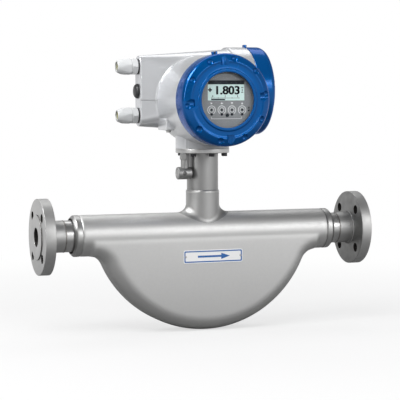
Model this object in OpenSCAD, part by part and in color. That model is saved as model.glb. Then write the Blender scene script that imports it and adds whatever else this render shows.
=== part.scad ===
// Coriolis flow meter: twin bent measuring tubes inside a half-moon steel casing, flanged
// into a pipe at both ends, with a field transmitter on a neck above the casing.
// Millimetres. The origin is the centre of the inlet flange's raised face, on the pipe axis;
// +X runs with the flow to the outlet, -Y is the side that the display faces, +Z is up.

/* [Pipe connections] */
// From each flange's raised face to the end of the case; the face-to-face length follows from it
neck_run = 64; // [60:1:90]
// Outside diameter of each flange
flange_d = 115; // [112:1:125]
// Thickness of each flange with its raised face
flange_t = 18; // [16:1:22]
// Diameter of the raised sealing face
raised_d = 68; // [60:1:69]
// Height of the raised sealing face
raised_h = 2; // [1:0.5:3]
// Diameter of the circle that the bolt holes lie on
bolt_circle_d = 85; // [84:1:90]
// Diameter of each bolt hole
bolt_hole_d = 14; // [10:0.5:14]
// Number of bolt holes
bolt_count = 4; // [4, 8]
// Bore of the flow path
bore_d = 28.5; // [20:0.5:32]
// Outside diameter of the pipe necks between flange and casing
neck_pipe_d = 48.3; // [44:0.1:50]
// Distance from the raised face to the weld in the neck
weld_at = 41; // [30:1:46]

/* [Casing] */
// Outside diameter of the casing tube
case_d = 63; // [60:0.5:70]
// Wall of the pressed casing shells
case_wall = 2.5; // [1.5:0.1:3.5]
// Length of the casing tube between its two end rings
case_len = 400; // [360:1:450]
// Length of each end ring
end_ring_len = 11; // [8:0.5:14]
// From the end of the case to where the belly's round side, carried on, meets the level of the tube's underside
belly_shoulder = 34.0; // [34:0.1:42]
// Depth of the belly's lowest point under the pipe axis
belly_depth = 150; // [146:0.5:156]
// Rounding of the belly's rim
belly_edge_r = 20; // [12:0.5:26]
// Fillet where the belly runs into the casing tube
belly_fillet_r = 24; // [10:0.5:26]

/* [Measuring tubes] */
// Outside diameter of each measuring tube
tube_d = 18; // [14:0.5:19]
// Wall of each measuring tube
tube_wall = 1.5; // [1:0.1:2]
// Distance between the two tube axes
tube_gap = 28; // [24:0.5:29]
// Depth of the tube axis at mid-length
tube_depth = 130; // [120:1:134]
// Angle at which the tubes leave the pipe axis
tube_angle = 50; // [45:1:55]
// Radius of the bend next to each manifold
tube_bend_r = 45; // [35:1:50]
// Length of manifold inside the casing tube's end
manifold_room = 13.9; // [12:0.1:16]

/* [Neck] */
// Outside diameter of the neck tube
neck_d = 48.3; // [44:0.1:50]
// Wall of the neck tube
neck_wall = 2.6; // [2:0.1:4]
// Outside diameter of the socket on the casing
socket_d = 51.5; // [51:0.5:56]
// Flare radius of the socket where it meets the casing
socket_flare_r = 15; // [8:0.5:20]
// Height of the weld between socket and neck tube
neck_weld_z = 63; // [56:0.5:70]
// Diameter of the round plate under the transmitter
plate_d = 83; // [80:0.5:96]
// Thickness of that plate
plate_t = 6.8; // [5:0.1:10]
// Height of the plate's top face, where the transmitter sits
plate_top_z = 129.7; // [120:0.1:150]
// Radius of the circle of foot screws
foot_screw_ring_r = 36.5; // [34:0.5:37]
// Diameter of the foot screws
foot_screw_d = 5; // [4:0.5:6]

/* [Transmitter] */
// Outside diameter of the electronics barrel and of both screw covers
cover_d = 138; // [134:0.5:144]
// Height of the barrel's axis over the pipe axis
barrel_axis_z = 204; // [203:0.5:212]
// Distance from the neck axis forward to the seat of the display cover
barrel_front = 77; // [72:0.5:84]
// Distance from the neck axis back to the end of the barrel
barrel_back = 26; // [20:0.5:30]
// Inside diameter of the electronics barrel
barrel_bore_d = 126; // [122:0.5:128]
// Distance from the neck axis forward to the partition wall
partition_front = 28; // [26:0.5:32]
// Height of the terminal compartment's axis
terminal_axis_z = 218; // [214:0.5:222]
// Distance from the neck axis back to the terminal compartment's axis
terminal_axis_y = 38; // [36:0.5:44]
// Distance from the neck axis right to the seat of the terminal cover
terminal_seat_x = 82; // [80:0.5:86]
// Inside diameter of the terminal compartment at its thread
terminal_bore_d = 124; // [118:0.5:126]
// Inside diameter of the terminal compartment behind the thread
terminal_room_d = 114; // [106:0.5:116]
// Distance from the neck axis left to the face that carries the glands
gland_face_x = 91.5; // [88:0.5:98]
// Thickness of the gland end of the housing, front to back
gland_end_t = 29; // [28:0.5:36]
// Height of the gland end of the housing
gland_end_h = 109; // [106:0.5:116]
// Thickness of the wall that the glands screw into
gland_wall = 8.5; // [6:0.5:12]

/* [Screw covers] */
// Length of the straight part of the display cover
display_cover_len = 29; // [28:0.5:36]
// Length of the straight part of the terminal cover
terminal_cover_len = 23; // [20:0.5:30]
// Height of the bevelled front of each cover
cover_nose = 8.5; // [8:0.5:11]
// Depth that each cover's thread reaches into the housing
thread_len = 12; // [10:0.5:14]
// Wall of the threaded part of each cover
thread_wall = 3.4; // [3:0.1:5]
// Diameter of the window's clear opening
window_d = 87; // [80:0.5:90]
// Thickness of the window glass
glass_t = 4; // [3:0.5:6]
// Number of grip dimples around each cover
dimple_count = 10; // [6:1:12]
// Diameter of each grip dimple's ball
dimple_d = 11; // [8:0.5:13]

/* [Cable entries] */
// Distance between neighbouring cable entries
gland_pitch = 37.7; // [36:0.1:40]
// Diameter of the entry threads
gland_thread_d = 20; // [16:0.5:20]
// Width across flats of the gland bodies
gland_hex_af = 24; // [22:0.5:26]
// Outside diameter of the dome nuts
gland_nut_d = 23.6; // [23:0.1:26]
// Length of the dome nuts
gland_nut_len = 22.5; // [20:0.5:26]
// Hole in the cable seals
cable_hole_d = 9; // [5:0.5:10]
// Diameter of the blind plug's head
plug_head_d = 22.7; // [22:0.1:28]

/* [Hidden] */
$fn = 96;

steel = [0.66, 0.66, 0.66];
dull_steel = [0.52, 0.53, 0.54];
grey_paint = [0.76, 0.77, 0.79];
blue_paint = [0.02, 0.29, 0.57];
black_part = [0.08, 0.08, 0.08];
pale_plastic = [0.74, 0.75, 0.75];
copper = [0.72, 0.42, 0.20];
board_green = [0.08, 0.34, 0.18];

fit = 0.08;       // radial clearance of threads and running fits
air = 0.3;        // gap between a soft seal and the moving parts beside it
eps = 0.01;       // overshoot of a cut past the face that it opens
face_to_face = case_len + 2 * neck_run;
mid_x = face_to_face / 2;
case_start = mid_x - case_len / 2;
socket_bore_d = neck_d - 2 * neck_wall;
plate_bottom_z = plate_top_z - plate_t;
// where the tubes' first bends start, the bottom bend that brings each end to its manifold, and the
// straight leg between the two bends
tube_start = case_len / 2 - manifold_room;
tube_arc_r = (tube_start * sin(tube_angle) - tube_depth * cos(tube_angle)) / (1 - cos(tube_angle)) - tube_bend_r;
leg_len = (tube_depth - (tube_bend_r + tube_arc_r) * (1 - cos(tube_angle))) / sin(tube_angle);

// ---- helpers ----

module along_x() rotate([0, 90, 0]) children();
module at_mid() translate([mid_x, 0, 0]) children();
module at_outlet() translate([face_to_face, 0, 0]) mirror([1, 0, 0]) children();
// the display barrel: local +Z points out of its open end, towards -Y
module at_barrel() at_mid() translate([0, -barrel_front, barrel_axis_z]) rotate([90, 0, 0]) children();
// the terminal compartment: local +Z points out of its open end, towards +X
module at_terminals()
    at_mid() translate([terminal_seat_x, terminal_axis_y, terminal_axis_z]) along_x() children();
// a cable entry: local +Z points out of the gland face, towards -X
module at_entry(row)
    at_mid() translate([-gland_face_x, gland_axis_y, terminal_axis_z + row * gland_pitch])
        rotate([0, -90, 0]) children();

// A flat ring, or with inner 0 a disc, standing on z = 0
module ring(outer, inner, h) difference() {
    cylinder(r = outer, h = h);
    if (inner > 0) translate([0, 0, -eps]) cylinder(r = inner, h = h + 2 * eps);
}
module hexagon(af, h) cylinder(d = af / cos(30), h = h, $fn = 6);

// ---- pipe connections ----

// The flange and its weld neck are one forging; the raised face is at x = 0.
flange_hub_r = 3;
bolt_start = 180 / bolt_count;
module flange() along_x() difference() {
    union() {
        cylinder(d = raised_d, h = raised_h + eps);
        translate([0, 0, raised_h]) cylinder(d = flange_d, h = flange_t - raised_h);
        cylinder(d = neck_pipe_d, h = weld_at);
        translate([0, 0, flange_t]) rotate_extrude() difference() {
            square([neck_pipe_d / 2 + flange_hub_r, flange_hub_r]);
            translate([neck_pipe_d / 2 + flange_hub_r, flange_hub_r]) circle(r = flange_hub_r);
        }
    }
    translate([0, 0, -eps]) cylinder(d = bore_d, h = weld_at + 2 * eps);
    for (i = [0 : bolt_count - 1])
        rotate([0, 0, bolt_start + i * 360 / bolt_count])
            translate([bolt_circle_d / 2, 0, -eps]) cylinder(d = bolt_hole_d, h = flange_t + 2 * eps);
}
module inlet_flange() color(steel) flange();
module outlet_flange() color(steel) at_outlet() flange();

// The manifold starts at the neck weld, holds the casing's end ring and splits the flow
// into the two measuring tubes, whose ends sit in its sockets.
manifold_end = mid_x - tube_start;
tube_socket = 6;
split_at = manifold_end - tube_socket - 14;
manifold_nose_d = min(case_d - 2 * case_wall - 1, tube_gap + tube_d + 8);
module manifold() difference() {
    union() {
        translate([weld_at, 0, 0]) along_x() cylinder(d = neck_pipe_d, h = case_start - weld_at + end_ring_len);
        translate([case_start, 0, 0]) along_x() cylinder(d = manifold_nose_d, h = manifold_end - case_start);
    }
    translate([weld_at - eps, 0, 0]) along_x() cylinder(d = bore_d, h = split_at - weld_at);
    for (s = [-1, 1]) translate([0, s * tube_gap / 2, 0]) {
        translate([split_at - 6, 0, 0]) along_x() cylinder(d = tube_d - 2 * tube_wall, h = manifold_end);
        translate([manifold_end - tube_socket, 0, 0]) along_x() cylinder(d = tube_d, h = tube_socket + eps);
    }
}
module inlet_manifold() color(steel) manifold();
module outlet_manifold() color(steel) at_outlet() manifold();

// The end ring closes the casing tube around the manifold; its outer corner is bevelled and a
// narrow groove is left beside the neck.
ring_bevel = 5;
ring_groove = 1.8;
module end_ring() translate([case_start - end_ring_len, 0, 0]) along_x() rotate_extrude() difference() {
    polygon([
        [neck_pipe_d / 2, 0], [case_d / 2 - ring_bevel, 0], [case_d / 2, ring_bevel],
        [case_d / 2, end_ring_len], [neck_pipe_d / 2, end_ring_len]
    ]);
    translate([0, -eps]) square([neck_pipe_d / 2 + ring_groove, 3]);
}
module inlet_end_ring() color(steel) end_ring();
module outlet_end_ring() color(steel) at_outlet() end_ring();

// ---- casing ----

belly_drop = belly_depth - case_d / 2;
belly_r = (pow(case_len / 2 - belly_shoulder, 2) + pow(belly_drop, 2)) / (2 * belly_drop);
belly_z = belly_r - belly_depth;
// Half section of the belly's disc: radius along x, thickness along y
module belly_section(r, half_t, edge) {
    square([r - edge, half_t]);
    square([r, half_t - edge]);
    translate([r - edge, half_t - edge]) circle(r = edge);
}
// The casing shape, larger or smaller by its wall; built whole and then cut into two shells
module case_shape(inset, extra) {
    half_t = case_d / 2 - inset;
    along_x() translate([0, 0, -case_len / 2 - extra]) cylinder(r = half_t, h = case_len + 2 * extra);
    intersection() {
        translate([0, 0, belly_z]) for (s = [0, 1]) mirror([0, s, 0]) rotate([90, 0, 0])
            rotate_extrude() belly_section(belly_r - inset, half_t, belly_edge_r - inset);
        translate([-belly_r, -half_t - 1, -belly_depth - 1])
            cube([2 * belly_r, 2 * half_t + 2, belly_depth + 1]);
    }
}
// The gusset-like fillet under each end of the belly
fillet_half_t = case_d / 2 - belly_edge_r;
fillet_z = case_d / 2 + belly_fillet_r;
fillet_x = sqrt(pow(belly_r + belly_fillet_r, 2) - pow(fillet_z + belly_z, 2));
module belly_fillets() for (s = [0, 1]) mirror([s, 0, 0]) difference() {
    intersection() {
        translate([fillet_x - 2 * belly_fillet_r, -fillet_half_t, -fillet_z])
            cube([2 * belly_fillet_r, 2 * fillet_half_t, belly_fillet_r + 3]);
        translate([fillet_x - 2 * belly_fillet_r, -fillet_half_t, -fillet_z + fillet_drop])
            cube([2 * belly_fillet_r, 2 * fillet_half_t, fillet_z]);
    }
    translate([fillet_x, fillet_half_t + 1, -fillet_z]) rotate([90, 0, 0])
        cylinder(r = belly_fillet_r, h = 2 * fillet_half_t + 2);
}
fillet_drop = belly_fillet_r * (fillet_z + belly_z) / (belly_r + belly_fillet_r);
module case_shell() at_mid() intersection() {
    difference() {
        union() {
            case_shape(0, 0);
            belly_fillets();
        }
        case_shape(case_wall, 1);
        cylinder(d = socket_bore_d, h = case_d);
    }
    translate([-case_len, -case_d, -belly_depth - 1]) cube([2 * case_len, case_d, belly_depth + case_d]);
}
module case_front_shell() color(steel) case_shell();
module case_rear_shell() color(steel) mirror([0, 1, 0]) case_shell();

// Plain name plate riveted to the flat front of the belly
label_size = [96, 0.6, 20];
label_pos = [6, -35];
module case_label() color("white") at_mid()
    translate([label_pos[0] - label_size[0] / 2, -case_d / 2 - label_size[1], label_pos[1] - label_size[2] / 2])
        cube(label_size);

// ---- measuring tubes ----

// The path from the manifold: a bend, a straight leg, then half of the bottom arc
// Each straight piece laps a little into the bend beside it, whose wall is a little thicker there
lap = 1;
lap_over = 0.1;
module tube_cut(over) difference() {
    circle(d = tube_d + 2 * over);
    circle(d = tube_d - 2 * tube_wall - 2 * over);
}
module bottom_arc() translate([0, 0, tube_arc_r - tube_depth]) rotate([90, 0, 0])
    rotate_extrude(angle = 2 * tube_angle, start = 270 - tube_angle) translate([tube_arc_r, 0]) tube_cut(lap_over);
module tube_side() {
    translate([-tube_start - tube_socket, 0, 0]) along_x() linear_extrude(tube_socket + lap) tube_cut(0);
    translate([-tube_start, 0, -tube_bend_r]) rotate([90, 0, 0])
        rotate_extrude(angle = tube_angle, start = 90 - tube_angle) translate([tube_bend_r, 0]) tube_cut(lap_over);
    on_leg(0) translate([0, 0, -lap]) linear_extrude(leg_len + 2 * lap) tube_cut(0);
}
module measuring_tube(side) at_mid() translate([0, side * tube_gap / 2, 0]) {
    bottom_arc();
    for (s = [0, 1]) mirror([s, 0, 0]) tube_side();
}
module front_tube() color(steel) measuring_tube(-1);
module rear_tube() color(steel) measuring_tube(1);

// A point and direction on the straight leg, a share of its length down from the first bend
module on_leg(share)
    translate([-tube_start + tube_bend_r * sin(tube_angle), 0, -tube_bend_r * (1 - cos(tube_angle))])
        rotate([0, 90 + tube_angle, 0]) translate([0, 0, share * leg_len]) children();

// Two brace plates on each leg tie the tubes together and set their vibrating length
brace_t = 2;
module brace_plates() color(dull_steel) at_mid() for (s = [0, 1]) mirror([s, 0, 0])
    for (share = [0.08, 0.26]) on_leg(share) difference() {
        translate([-tube_d * 0.7, -tube_gap / 2 - tube_d * 0.65, 0])
            cube([tube_d * 1.4, tube_gap + tube_d * 1.3, brace_t]);
        for (side = [-1, 1]) translate([0, side * tube_gap / 2, -eps])
            cylinder(d = tube_d, h = brace_t + 2 * eps);
    }

// Each coil is carried by the rear tube and its magnet by the front tube; they don't touch
tube_space = tube_gap - tube_d;
coil_gap = 0.8;
module coil(d) difference() {
    union() {
        translate([0, tube_space / 2, 0]) rotate([90, 0, 0]) cylinder(d = d, h = tube_space / 2 - coil_gap / 2);
        translate([-d / 2, tube_space / 2 - 1.2, -d / 2]) cube([d, 1.2 + tube_d / 2, d]);
    }
    translate([0, tube_gap / 2, 0]) children();
}
module magnet(d) difference() {
    union() {
        translate([0, -coil_gap / 2, 0]) rotate([90, 0, 0]) cylinder(d = d, h = tube_space / 2 - coil_gap / 2);
        translate([-d / 2, -tube_space / 2 - tube_d / 2, -d / 2]) cube([d, 1.2 + tube_d / 2, d]);
    }
    translate([0, -tube_gap / 2, 0]) children();
}
drive_d = 20;
module arc_rod() translate([0, 0, tube_arc_r - tube_depth]) rotate([90, 0, 0])
    rotate_extrude(angle = tube_angle, start = 270 - tube_angle / 2) translate([tube_arc_r, 0]) circle(d = tube_d + 2 * lap_over);
module drive_coil() color(copper) at_mid() translate([0, 0, -tube_depth])
    coil(drive_d) translate([0, 0, tube_depth]) arc_rod();
module drive_magnet() color(dull_steel) at_mid() translate([0, 0, -tube_depth])
    magnet(drive_d * 0.7) translate([0, 0, tube_depth]) arc_rod();
pickoff_d = 15;
pickoff_share = 0.62;
module leg_rod() translate([0, 0, -leg_len]) cylinder(d = tube_d, h = 2 * leg_len);
module pickoff_coils() color(copper) at_mid() for (s = [0, 1]) mirror([s, 0, 0])
    on_leg(pickoff_share) coil(pickoff_d) leg_rod();
module pickoff_magnets() color(dull_steel) at_mid() for (s = [0, 1]) mirror([s, 0, 0])
    on_leg(pickoff_share) magnet(pickoff_d * 0.7) leg_rod();

// Resistance thermometer strapped along the rear tube beside the inlet manifold
module temperature_sensor() color(dull_steel) at_mid() on_leg(0.42)
    translate([-tube_d / 2 - 2.5, tube_gap / 2, -6]) cylinder(d = 5, h = 12);

// The sensor's wires run as one flat loom from the drive up to the neck's feedthrough
loom = [6, 2];
feedthrough_z = plate_top_z - plate_t - 26;
module sensor_harness() color("saddlebrown") at_mid() union() {
    translate([-loom[0] / 2, tube_gap / 2 - loom[1] / 2, -tube_depth + drive_d / 2])
        cube([loom[0], loom[1], case_d / 2 - case_wall + tube_depth - drive_d / 2]);
    translate([-loom[0] / 2, -loom[1] / 2, case_d / 2 - case_wall - 4])
        cube([loom[0], tube_gap / 2 + loom[1], 4]);
    translate([-loom[0] / 2, -loom[1] / 2, case_d / 2 - case_wall - 4])
        cube([loom[0], loom[1], feedthrough_z - case_d / 2 + case_wall + 4]);
}

// ---- neck ----

// Forged socket saddled on the casing tube; its foot flares out along the pipe
module neck_socket() color(steel) at_mid() difference() {
    union() {
        intersection() {
            rotate_extrude() difference() {
                square([socket_d / 2 + socket_flare_r, case_d / 2 + socket_flare_r]);
                translate([socket_d / 2 + socket_flare_r, case_d / 2 + socket_flare_r]) circle(r = socket_flare_r);
            }
            translate([-case_d, -socket_d / 2, 0]) cube([2 * case_d, socket_d, case_d]);
        }
        cylinder(d = socket_d, h = neck_weld_z);
    }
    translate([0, 0, -eps]) cylinder(d = socket_bore_d, h = neck_weld_z + 2 * eps);
    translate([-case_d, 0, 0]) along_x() cylinder(d = case_d, h = 2 * case_d);
}

// Neck tube with its weld bead over the socket
bead_r = 1.3;
module neck_tube() color(steel) at_mid() difference() {
    union() {
        translate([0, 0, neck_weld_z]) cylinder(d = neck_d, h = plate_bottom_z - neck_weld_z);
        translate([0, 0, neck_weld_z + bead_r]) rotate_extrude() translate([neck_d / 2, 0]) circle(r = bead_r);
    }
    translate([0, 0, neck_weld_z - eps]) cylinder(d = socket_bore_d, h = plate_bottom_z - neck_weld_z + 2 * eps);
}

// Sealed disc with contact pins, which keeps the casing's gas out of the transmitter
feedthrough_t = 8;
pin_ring_r = 10;
pin_len = 6;
module neck_feedthrough() color(dull_steel) at_mid() {
    translate([0, 0, feedthrough_z]) cylinder(d = socket_bore_d, h = feedthrough_t);
    for (i = [0 : 5]) rotate([0, 0, i * 60]) translate([pin_ring_r, 0, feedthrough_z + feedthrough_t - eps])
        cylinder(d = 1.5, h = pin_len + eps);
}

// One place of the screw circle is taken by the ground post
screw_places = 8;
screw_start = -131.5;
post_angle = screw_start - 26;
module neck_plate() color(steel) at_mid() difference() {
    translate([0, 0, plate_bottom_z]) cylinder(d = plate_d, h = plate_t);
    translate([0, 0, plate_bottom_z - eps]) cylinder(d = socket_bore_d, h = plate_t + 2 * eps);
    for (i = [0 : screw_places - 2]) rotate([0, 0, screw_start + i * 360 / screw_places])
        translate([foot_screw_ring_r, 0, plate_bottom_z - eps]) cylinder(d = foot_screw_d, h = plate_t + 2 * eps);
    rotate([0, 0, post_angle]) translate([foot_screw_ring_r, 0, plate_bottom_z - eps])
        cylinder(d = post_thread_d, h = post_thread_len + eps);
}

// Socket head screws, put in from below
foot_screw_grip = 10;
foot_head_h = foot_screw_d;
module foot_screws() color(black_part) at_mid() for (i = [0 : screw_places - 2])
    rotate([0, 0, screw_start + i * 360 / screw_places])
        translate([foot_screw_ring_r, 0, plate_bottom_z - foot_head_h]) difference() {
            union() {
                cylinder(d = foot_screw_d * 1.7, h = foot_head_h);
                cylinder(d = foot_screw_d, h = foot_head_h + plate_t + foot_screw_grip);
            }
            translate([0, 0, -eps]) hexagon(foot_screw_d * 0.8, foot_head_h * 0.55);
        }

// Ground terminal: a hexagon post under the plate carries a cross barrel with a clamp screw
post_thread_d = 6;
post_thread_len = 5;
post_hex_af = 13;
post_hex_h = 10;
post_shank_d = 12;
post_shank_h = 11;
clamp_d = 19;
clamp_len = 21.5;
clamp_shift = -1.2;                    // keeps the barrel's end off the neck tube
clamp_z = plate_bottom_z - post_hex_h - post_shank_h - clamp_d / 2;
module at_post() at_mid() rotate([0, 0, post_angle]) translate([foot_screw_ring_r, 0, 0])
    rotate([0, 0, -post_angle]) children();
module ground_post() color(steel) at_post() {
    translate([0, 0, plate_bottom_z - post_hex_h]) hexagon(post_hex_af, post_hex_h);
    translate([0, 0, plate_bottom_z]) cylinder(d = post_thread_d, h = post_thread_len);
    difference() {
        translate([0, 0, clamp_z]) cylinder(d = post_shank_d, h = plate_bottom_z - post_hex_h - clamp_z);
        translate([-clamp_len, 0, clamp_z]) along_x() cylinder(d = clamp_d, h = 2 * clamp_len);
    }
}
ground_screw_d = 12;
ground_screw_len = 4.5;                // slotted head, sunk flush in the barrel's end
ground_point_d = 5;                    // point that pinches the wire
wire_hole_x = 9;                       // from the barrel's slotted end
wire_hole_d = 6.4;
clamp_left = -clamp_len / 2 + clamp_shift;
module ground_clamp() color(steel) at_post() difference() {
    translate([clamp_left, 0, clamp_z]) along_x() cylinder(d = clamp_d, h = clamp_len);
    translate([clamp_left - eps, 0, clamp_z]) along_x() cylinder(d = ground_screw_d, h = ground_screw_len + eps);
    translate([clamp_left, 0, clamp_z]) along_x() cylinder(d = ground_point_d, h = wire_hole_x);
    translate([clamp_left + wire_hole_x, clamp_d, clamp_z]) rotate([90, 0, 0])
        cylinder(d = wire_hole_d, h = 2 * clamp_d);
}
module ground_screw() color(dull_steel) at_post() difference() {
    translate([clamp_left, 0, clamp_z]) along_x() {
        cylinder(d = ground_screw_d, h = ground_screw_len);
        cylinder(d = ground_point_d, h = wire_hole_x - wire_hole_d / 2 - 0.3);
    }
    translate([clamp_left - eps, -ground_screw_d / 2, clamp_z - 0.8]) cube([2, ground_screw_d, 1.6]);
}

// ---- transmitter housing ----

cover_r = cover_d / 2;
barrel_bore_r = barrel_bore_d / 2;
terminal_bore_r = terminal_bore_d / 2;
terminal_room_r = terminal_room_d / 2;
gland_axis_y = terminal_axis_y + 2;
gland_front_y = gland_axis_y - gland_end_t / 2;
barrel_len = barrel_front + barrel_back;
barrel_depth = barrel_front - partition_front;   // from the cover's seat to the partition
collar_len = 31;                                 // round collar that takes the terminal cover
body_round_r = cover_r - 4;                      // the body where it meets the collar
body_corner_r = 4;
slot_end_x = -10;                                // right end of the room's flat part
room_left_x = 42;                                // left end of the round terminal room
room_ledge = 5;                                  // ledge that the terminal carrier sits on
duct_r = 12;

// Upright slab with rounded corners, seen along x: the gland end's cross-section
module slab(x, t, h, len) hull() for (sy = [-1, 1]) for (sz = [-1, 1])
    translate([x, gland_axis_y + sy * (t / 2 - body_corner_r), terminal_axis_z + sz * (h / 2 - body_corner_r)])
        along_x() cylinder(r = body_corner_r, h = len, $fn = 32);
module body_shell() hull() {
    slab(-gland_face_x, gland_end_t, gland_end_h, 1);
    translate([terminal_seat_x - collar_len - 4, terminal_axis_y, terminal_axis_z])
        along_x() cylinder(r = body_round_r, h = 4, $fn = 72);
}
// Boss low on the barrel's left for the earth screw
boss = [17, 42, 17];
boss_drop = 46;                                  // its underside below the barrel axis
boss_pos = [-64, gland_front_y - boss[1], barrel_axis_z - boss_drop];
module transmitter_housing() color(grey_paint) at_mid() difference() {
    union() {
        translate([0, barrel_back, barrel_axis_z]) rotate([90, 0, 0]) cylinder(r = cover_r - 0.4, h = barrel_len);
        body_shell();
        translate([terminal_seat_x - collar_len, terminal_axis_y, terminal_axis_z])
            along_x() cylinder(r = cover_r - 0.4, h = collar_len);
        translate([0, 0, plate_top_z]) cylinder(d = plate_d, h = barrel_axis_z - plate_top_z);
        translate(boss_pos) cube(boss);
    }
    // electronics compartment
    translate([0, -barrel_front - eps, barrel_axis_z]) rotate([-90, 0, 0])
        cylinder(r = barrel_bore_r, h = barrel_depth + eps);
    // terminal compartment
    translate([terminal_seat_x - thread_len - 4, terminal_axis_y, terminal_axis_z]) along_x()
        cylinder(r = terminal_bore_r, h = thread_len + 4 + eps);
    translate([room_left_x, terminal_axis_y, terminal_axis_z]) along_x()
        cylinder(r = terminal_room_r, h = terminal_seat_x - room_left_x);
    translate([slot_end_x - 26, terminal_axis_y, terminal_axis_z]) along_x()
        cylinder(r1 = room_slot[1] / 2, r2 = terminal_room_r - room_ledge, h = room_left_x - slot_end_x + 26 + eps);
    translate([gland_wall - gland_face_x, gland_axis_y - room_slot[1] / 2, terminal_axis_z - room_slot[2] / 2])
        cube(room_slot);
    // cable entries
    for (row = [-1 : 1]) translate([-gland_face_x - eps, gland_axis_y, terminal_axis_z + row * gland_pitch])
        along_x() cylinder(d = gland_thread_d, h = gland_wall + 2 * eps);
    // way for the sensor's wires: up through the foot, then forward past the partition
    translate([0, 0, plate_top_z - eps]) cylinder(r = duct_r, h = duct_z - plate_top_z);
    translate([0, -partition_front - eps, duct_z]) rotate([-90, 0, 0]) cylinder(r = duct_r - 2, h = partition_front + eps);
    // sealed way from the electronics to the terminals
    translate([link_x, -partition_front - eps, terminal_axis_z]) rotate([-90, 0, 0])
        cylinder(r = link_r, h = partition_front + terminal_axis_y);
    // threads for the foot screws and the earth screw
    for (i = [0 : screw_places - 2]) rotate([0, 0, screw_start + i * 360 / screw_places])
        translate([foot_screw_ring_r, 0, plate_top_z - eps]) cylinder(d = foot_screw_d, h = foot_screw_grip + 0.5);
    translate([earth_pos[0], earth_pos[1], boss_pos[2] - eps]) cylinder(d = earth_thread_d, h = earth_thread_len);
}
room_slot = [gland_face_x - gland_wall + slot_end_x, gland_end_t - 9, gland_end_h - 13];
duct_z = plate_top_z + 42;
link_r = 9;
link_x = 34;

// Earth screw with its washer under the boss
earth_thread_d = 4;
earth_thread_len = 8;
earth_pos = [boss_pos[0] + 7, boss_pos[1] + 10];
module earth_screw() color(dull_steel) at_mid() translate([earth_pos[0], earth_pos[1], boss_pos[2]]) difference() {
    union() {
        translate([0, 0, -1]) cylinder(d = 9, h = 1);
        translate([0, 0, -3.5]) cylinder(d = 7, h = 2.6);
        translate([0, 0, -1]) cylinder(d = earth_thread_d, h = earth_thread_len);
    }
    translate([-4, -0.6, -3.6]) cube([8, 1.2, 1.3]);
}

// Potted disc of pins between the two compartments
module compartment_feedthrough() color(black_part) at_mid()
    translate([link_x, -partition_front, terminal_axis_z]) rotate([-90, 0, 0]) {
        cylinder(r = link_r, h = 7);
        for (i = [0 : 4]) rotate([0, 0, i * 72]) translate([5, 0, -2.5]) cylinder(d = 1.4, h = 12);
    }

// ---- electronics: local z = 0 is the display cover's seat, +z points to the viewer ----

can_r = barrel_bore_r - 4;
can_wall = 2.5;
can_front = -14;                       // open front edge of the can
can_back = -barrel_depth;
face_z = display_cover_len + 1;        // front of the display bezel
bezel_r = window_d / 2 + 3;
bezel_wall = 2.5;
lcd_size = [57.8, 29.8];
lcd_y = 14;                             // the screen sits a little above the centre
post_h = can_r / 5;
post_inset = post_h;
module electronics_can() color(black_part) at_barrel() {
    difference() {
        translate([0, 0, can_back]) cylinder(r = can_r, h = can_front - can_back);
        translate([0, 0, can_back + can_wall]) cylinder(r = can_r - can_wall, h = can_front - can_back);
        // room for the feedthrough's pins and for the wires from the neck
        translate([link_x, terminal_axis_z - barrel_axis_z, can_back - eps])
            cylinder(r = link_r, h = can_wall + 2 * eps);
        translate([0, duct_z - barrel_axis_z, can_back - eps]) cylinder(r = duct_r - 2, h = can_wall + 2 * eps);
    }
    for (a = [45 : 90 : 315]) rotate([0, 0, a]) translate([can_r - post_inset, 0, can_back + can_wall - eps])
        cylinder(d = post_h * 0.6, h = post_h + eps);
}
board_t = 1.6;
main_board_z = can_back + can_wall + post_h;
module main_board() color(board_green) at_barrel() {
    translate([0, 0, main_board_z]) cylinder(r = can_r - can_wall - 1, h = board_t);
    translate([-0.5 * can_r, -0.34 * can_r, main_board_z + board_t]) cube([0.4, 0.3, 0.15] * can_r);
    translate([0.08 * can_r, 0.07 * can_r, main_board_z + board_t]) cube([0.27, 0.27, 0.05] * can_r);
    translate([0.14 * can_r, -0.47 * can_r, main_board_z + board_t]) cylinder(r = can_r / 10, h = can_r / 4);
    translate([-0.44 * can_r, 0.24 * can_r, main_board_z + board_t]) cube([0.34, 0.2, 0.1] * can_r);
}
// Moulded bezel: a lid on the can, a sleeve that reaches up to the window, and the display face
module display_bezel() color([0.45, 0.46, 0.48]) at_barrel() difference() {
    union() {
        translate([0, 0, can_front]) cylinder(r = can_r, h = 5);
        translate([0, 0, can_front]) cylinder(r = bezel_r, h = face_z - can_front);
    }
    translate([0, 0, can_front - eps]) cylinder(r = bezel_r - bezel_wall, h = face_z - can_front - bezel_wall + eps);
    translate([-lcd_size[0] / 2, lcd_y - lcd_size[1] / 2, face_z - bezel_wall - 1])
        cube([lcd_size[0], lcd_size[1], bezel_wall + 2]);
    for (i = [0 : key_count - 1]) translate([(i - (key_count - 1) / 2) * key_pitch, key_y, face_z - bezel_wall - 1])
        cylinder(r = key_hole_r, h = bezel_wall + 2);
}
display_board_z = face_z - bezel_wall - 7;
module display_board() color(board_green) at_barrel() {
    translate([0, 0, display_board_z]) cylinder(r = bezel_r - bezel_wall - fit, h = board_t);
    translate([-12, -30, display_board_z - 5]) cube([24, 7, 5 + eps]);
}
// Liquid crystal module: frame on the board, glass just behind the bezel's face
module lcd_panel() color([0.70, 0.80, 0.78]) at_barrel() union() {
    translate([-lcd_size[0] / 2 - 2, lcd_y - lcd_size[1] / 2 - 2, display_board_z + board_t])
        cube([lcd_size[0] + 4, lcd_size[1] + 4, face_z - bezel_wall - display_board_z - board_t]);
    translate([-lcd_size[0] / 2 + 0.2, lcd_y - lcd_size[1] / 2 + 0.2, face_z - bezel_wall - 1])
        cube([lcd_size[0] - 0.4, lcd_size[1] - 0.4, bezel_wall + 0.6]);
}
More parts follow.
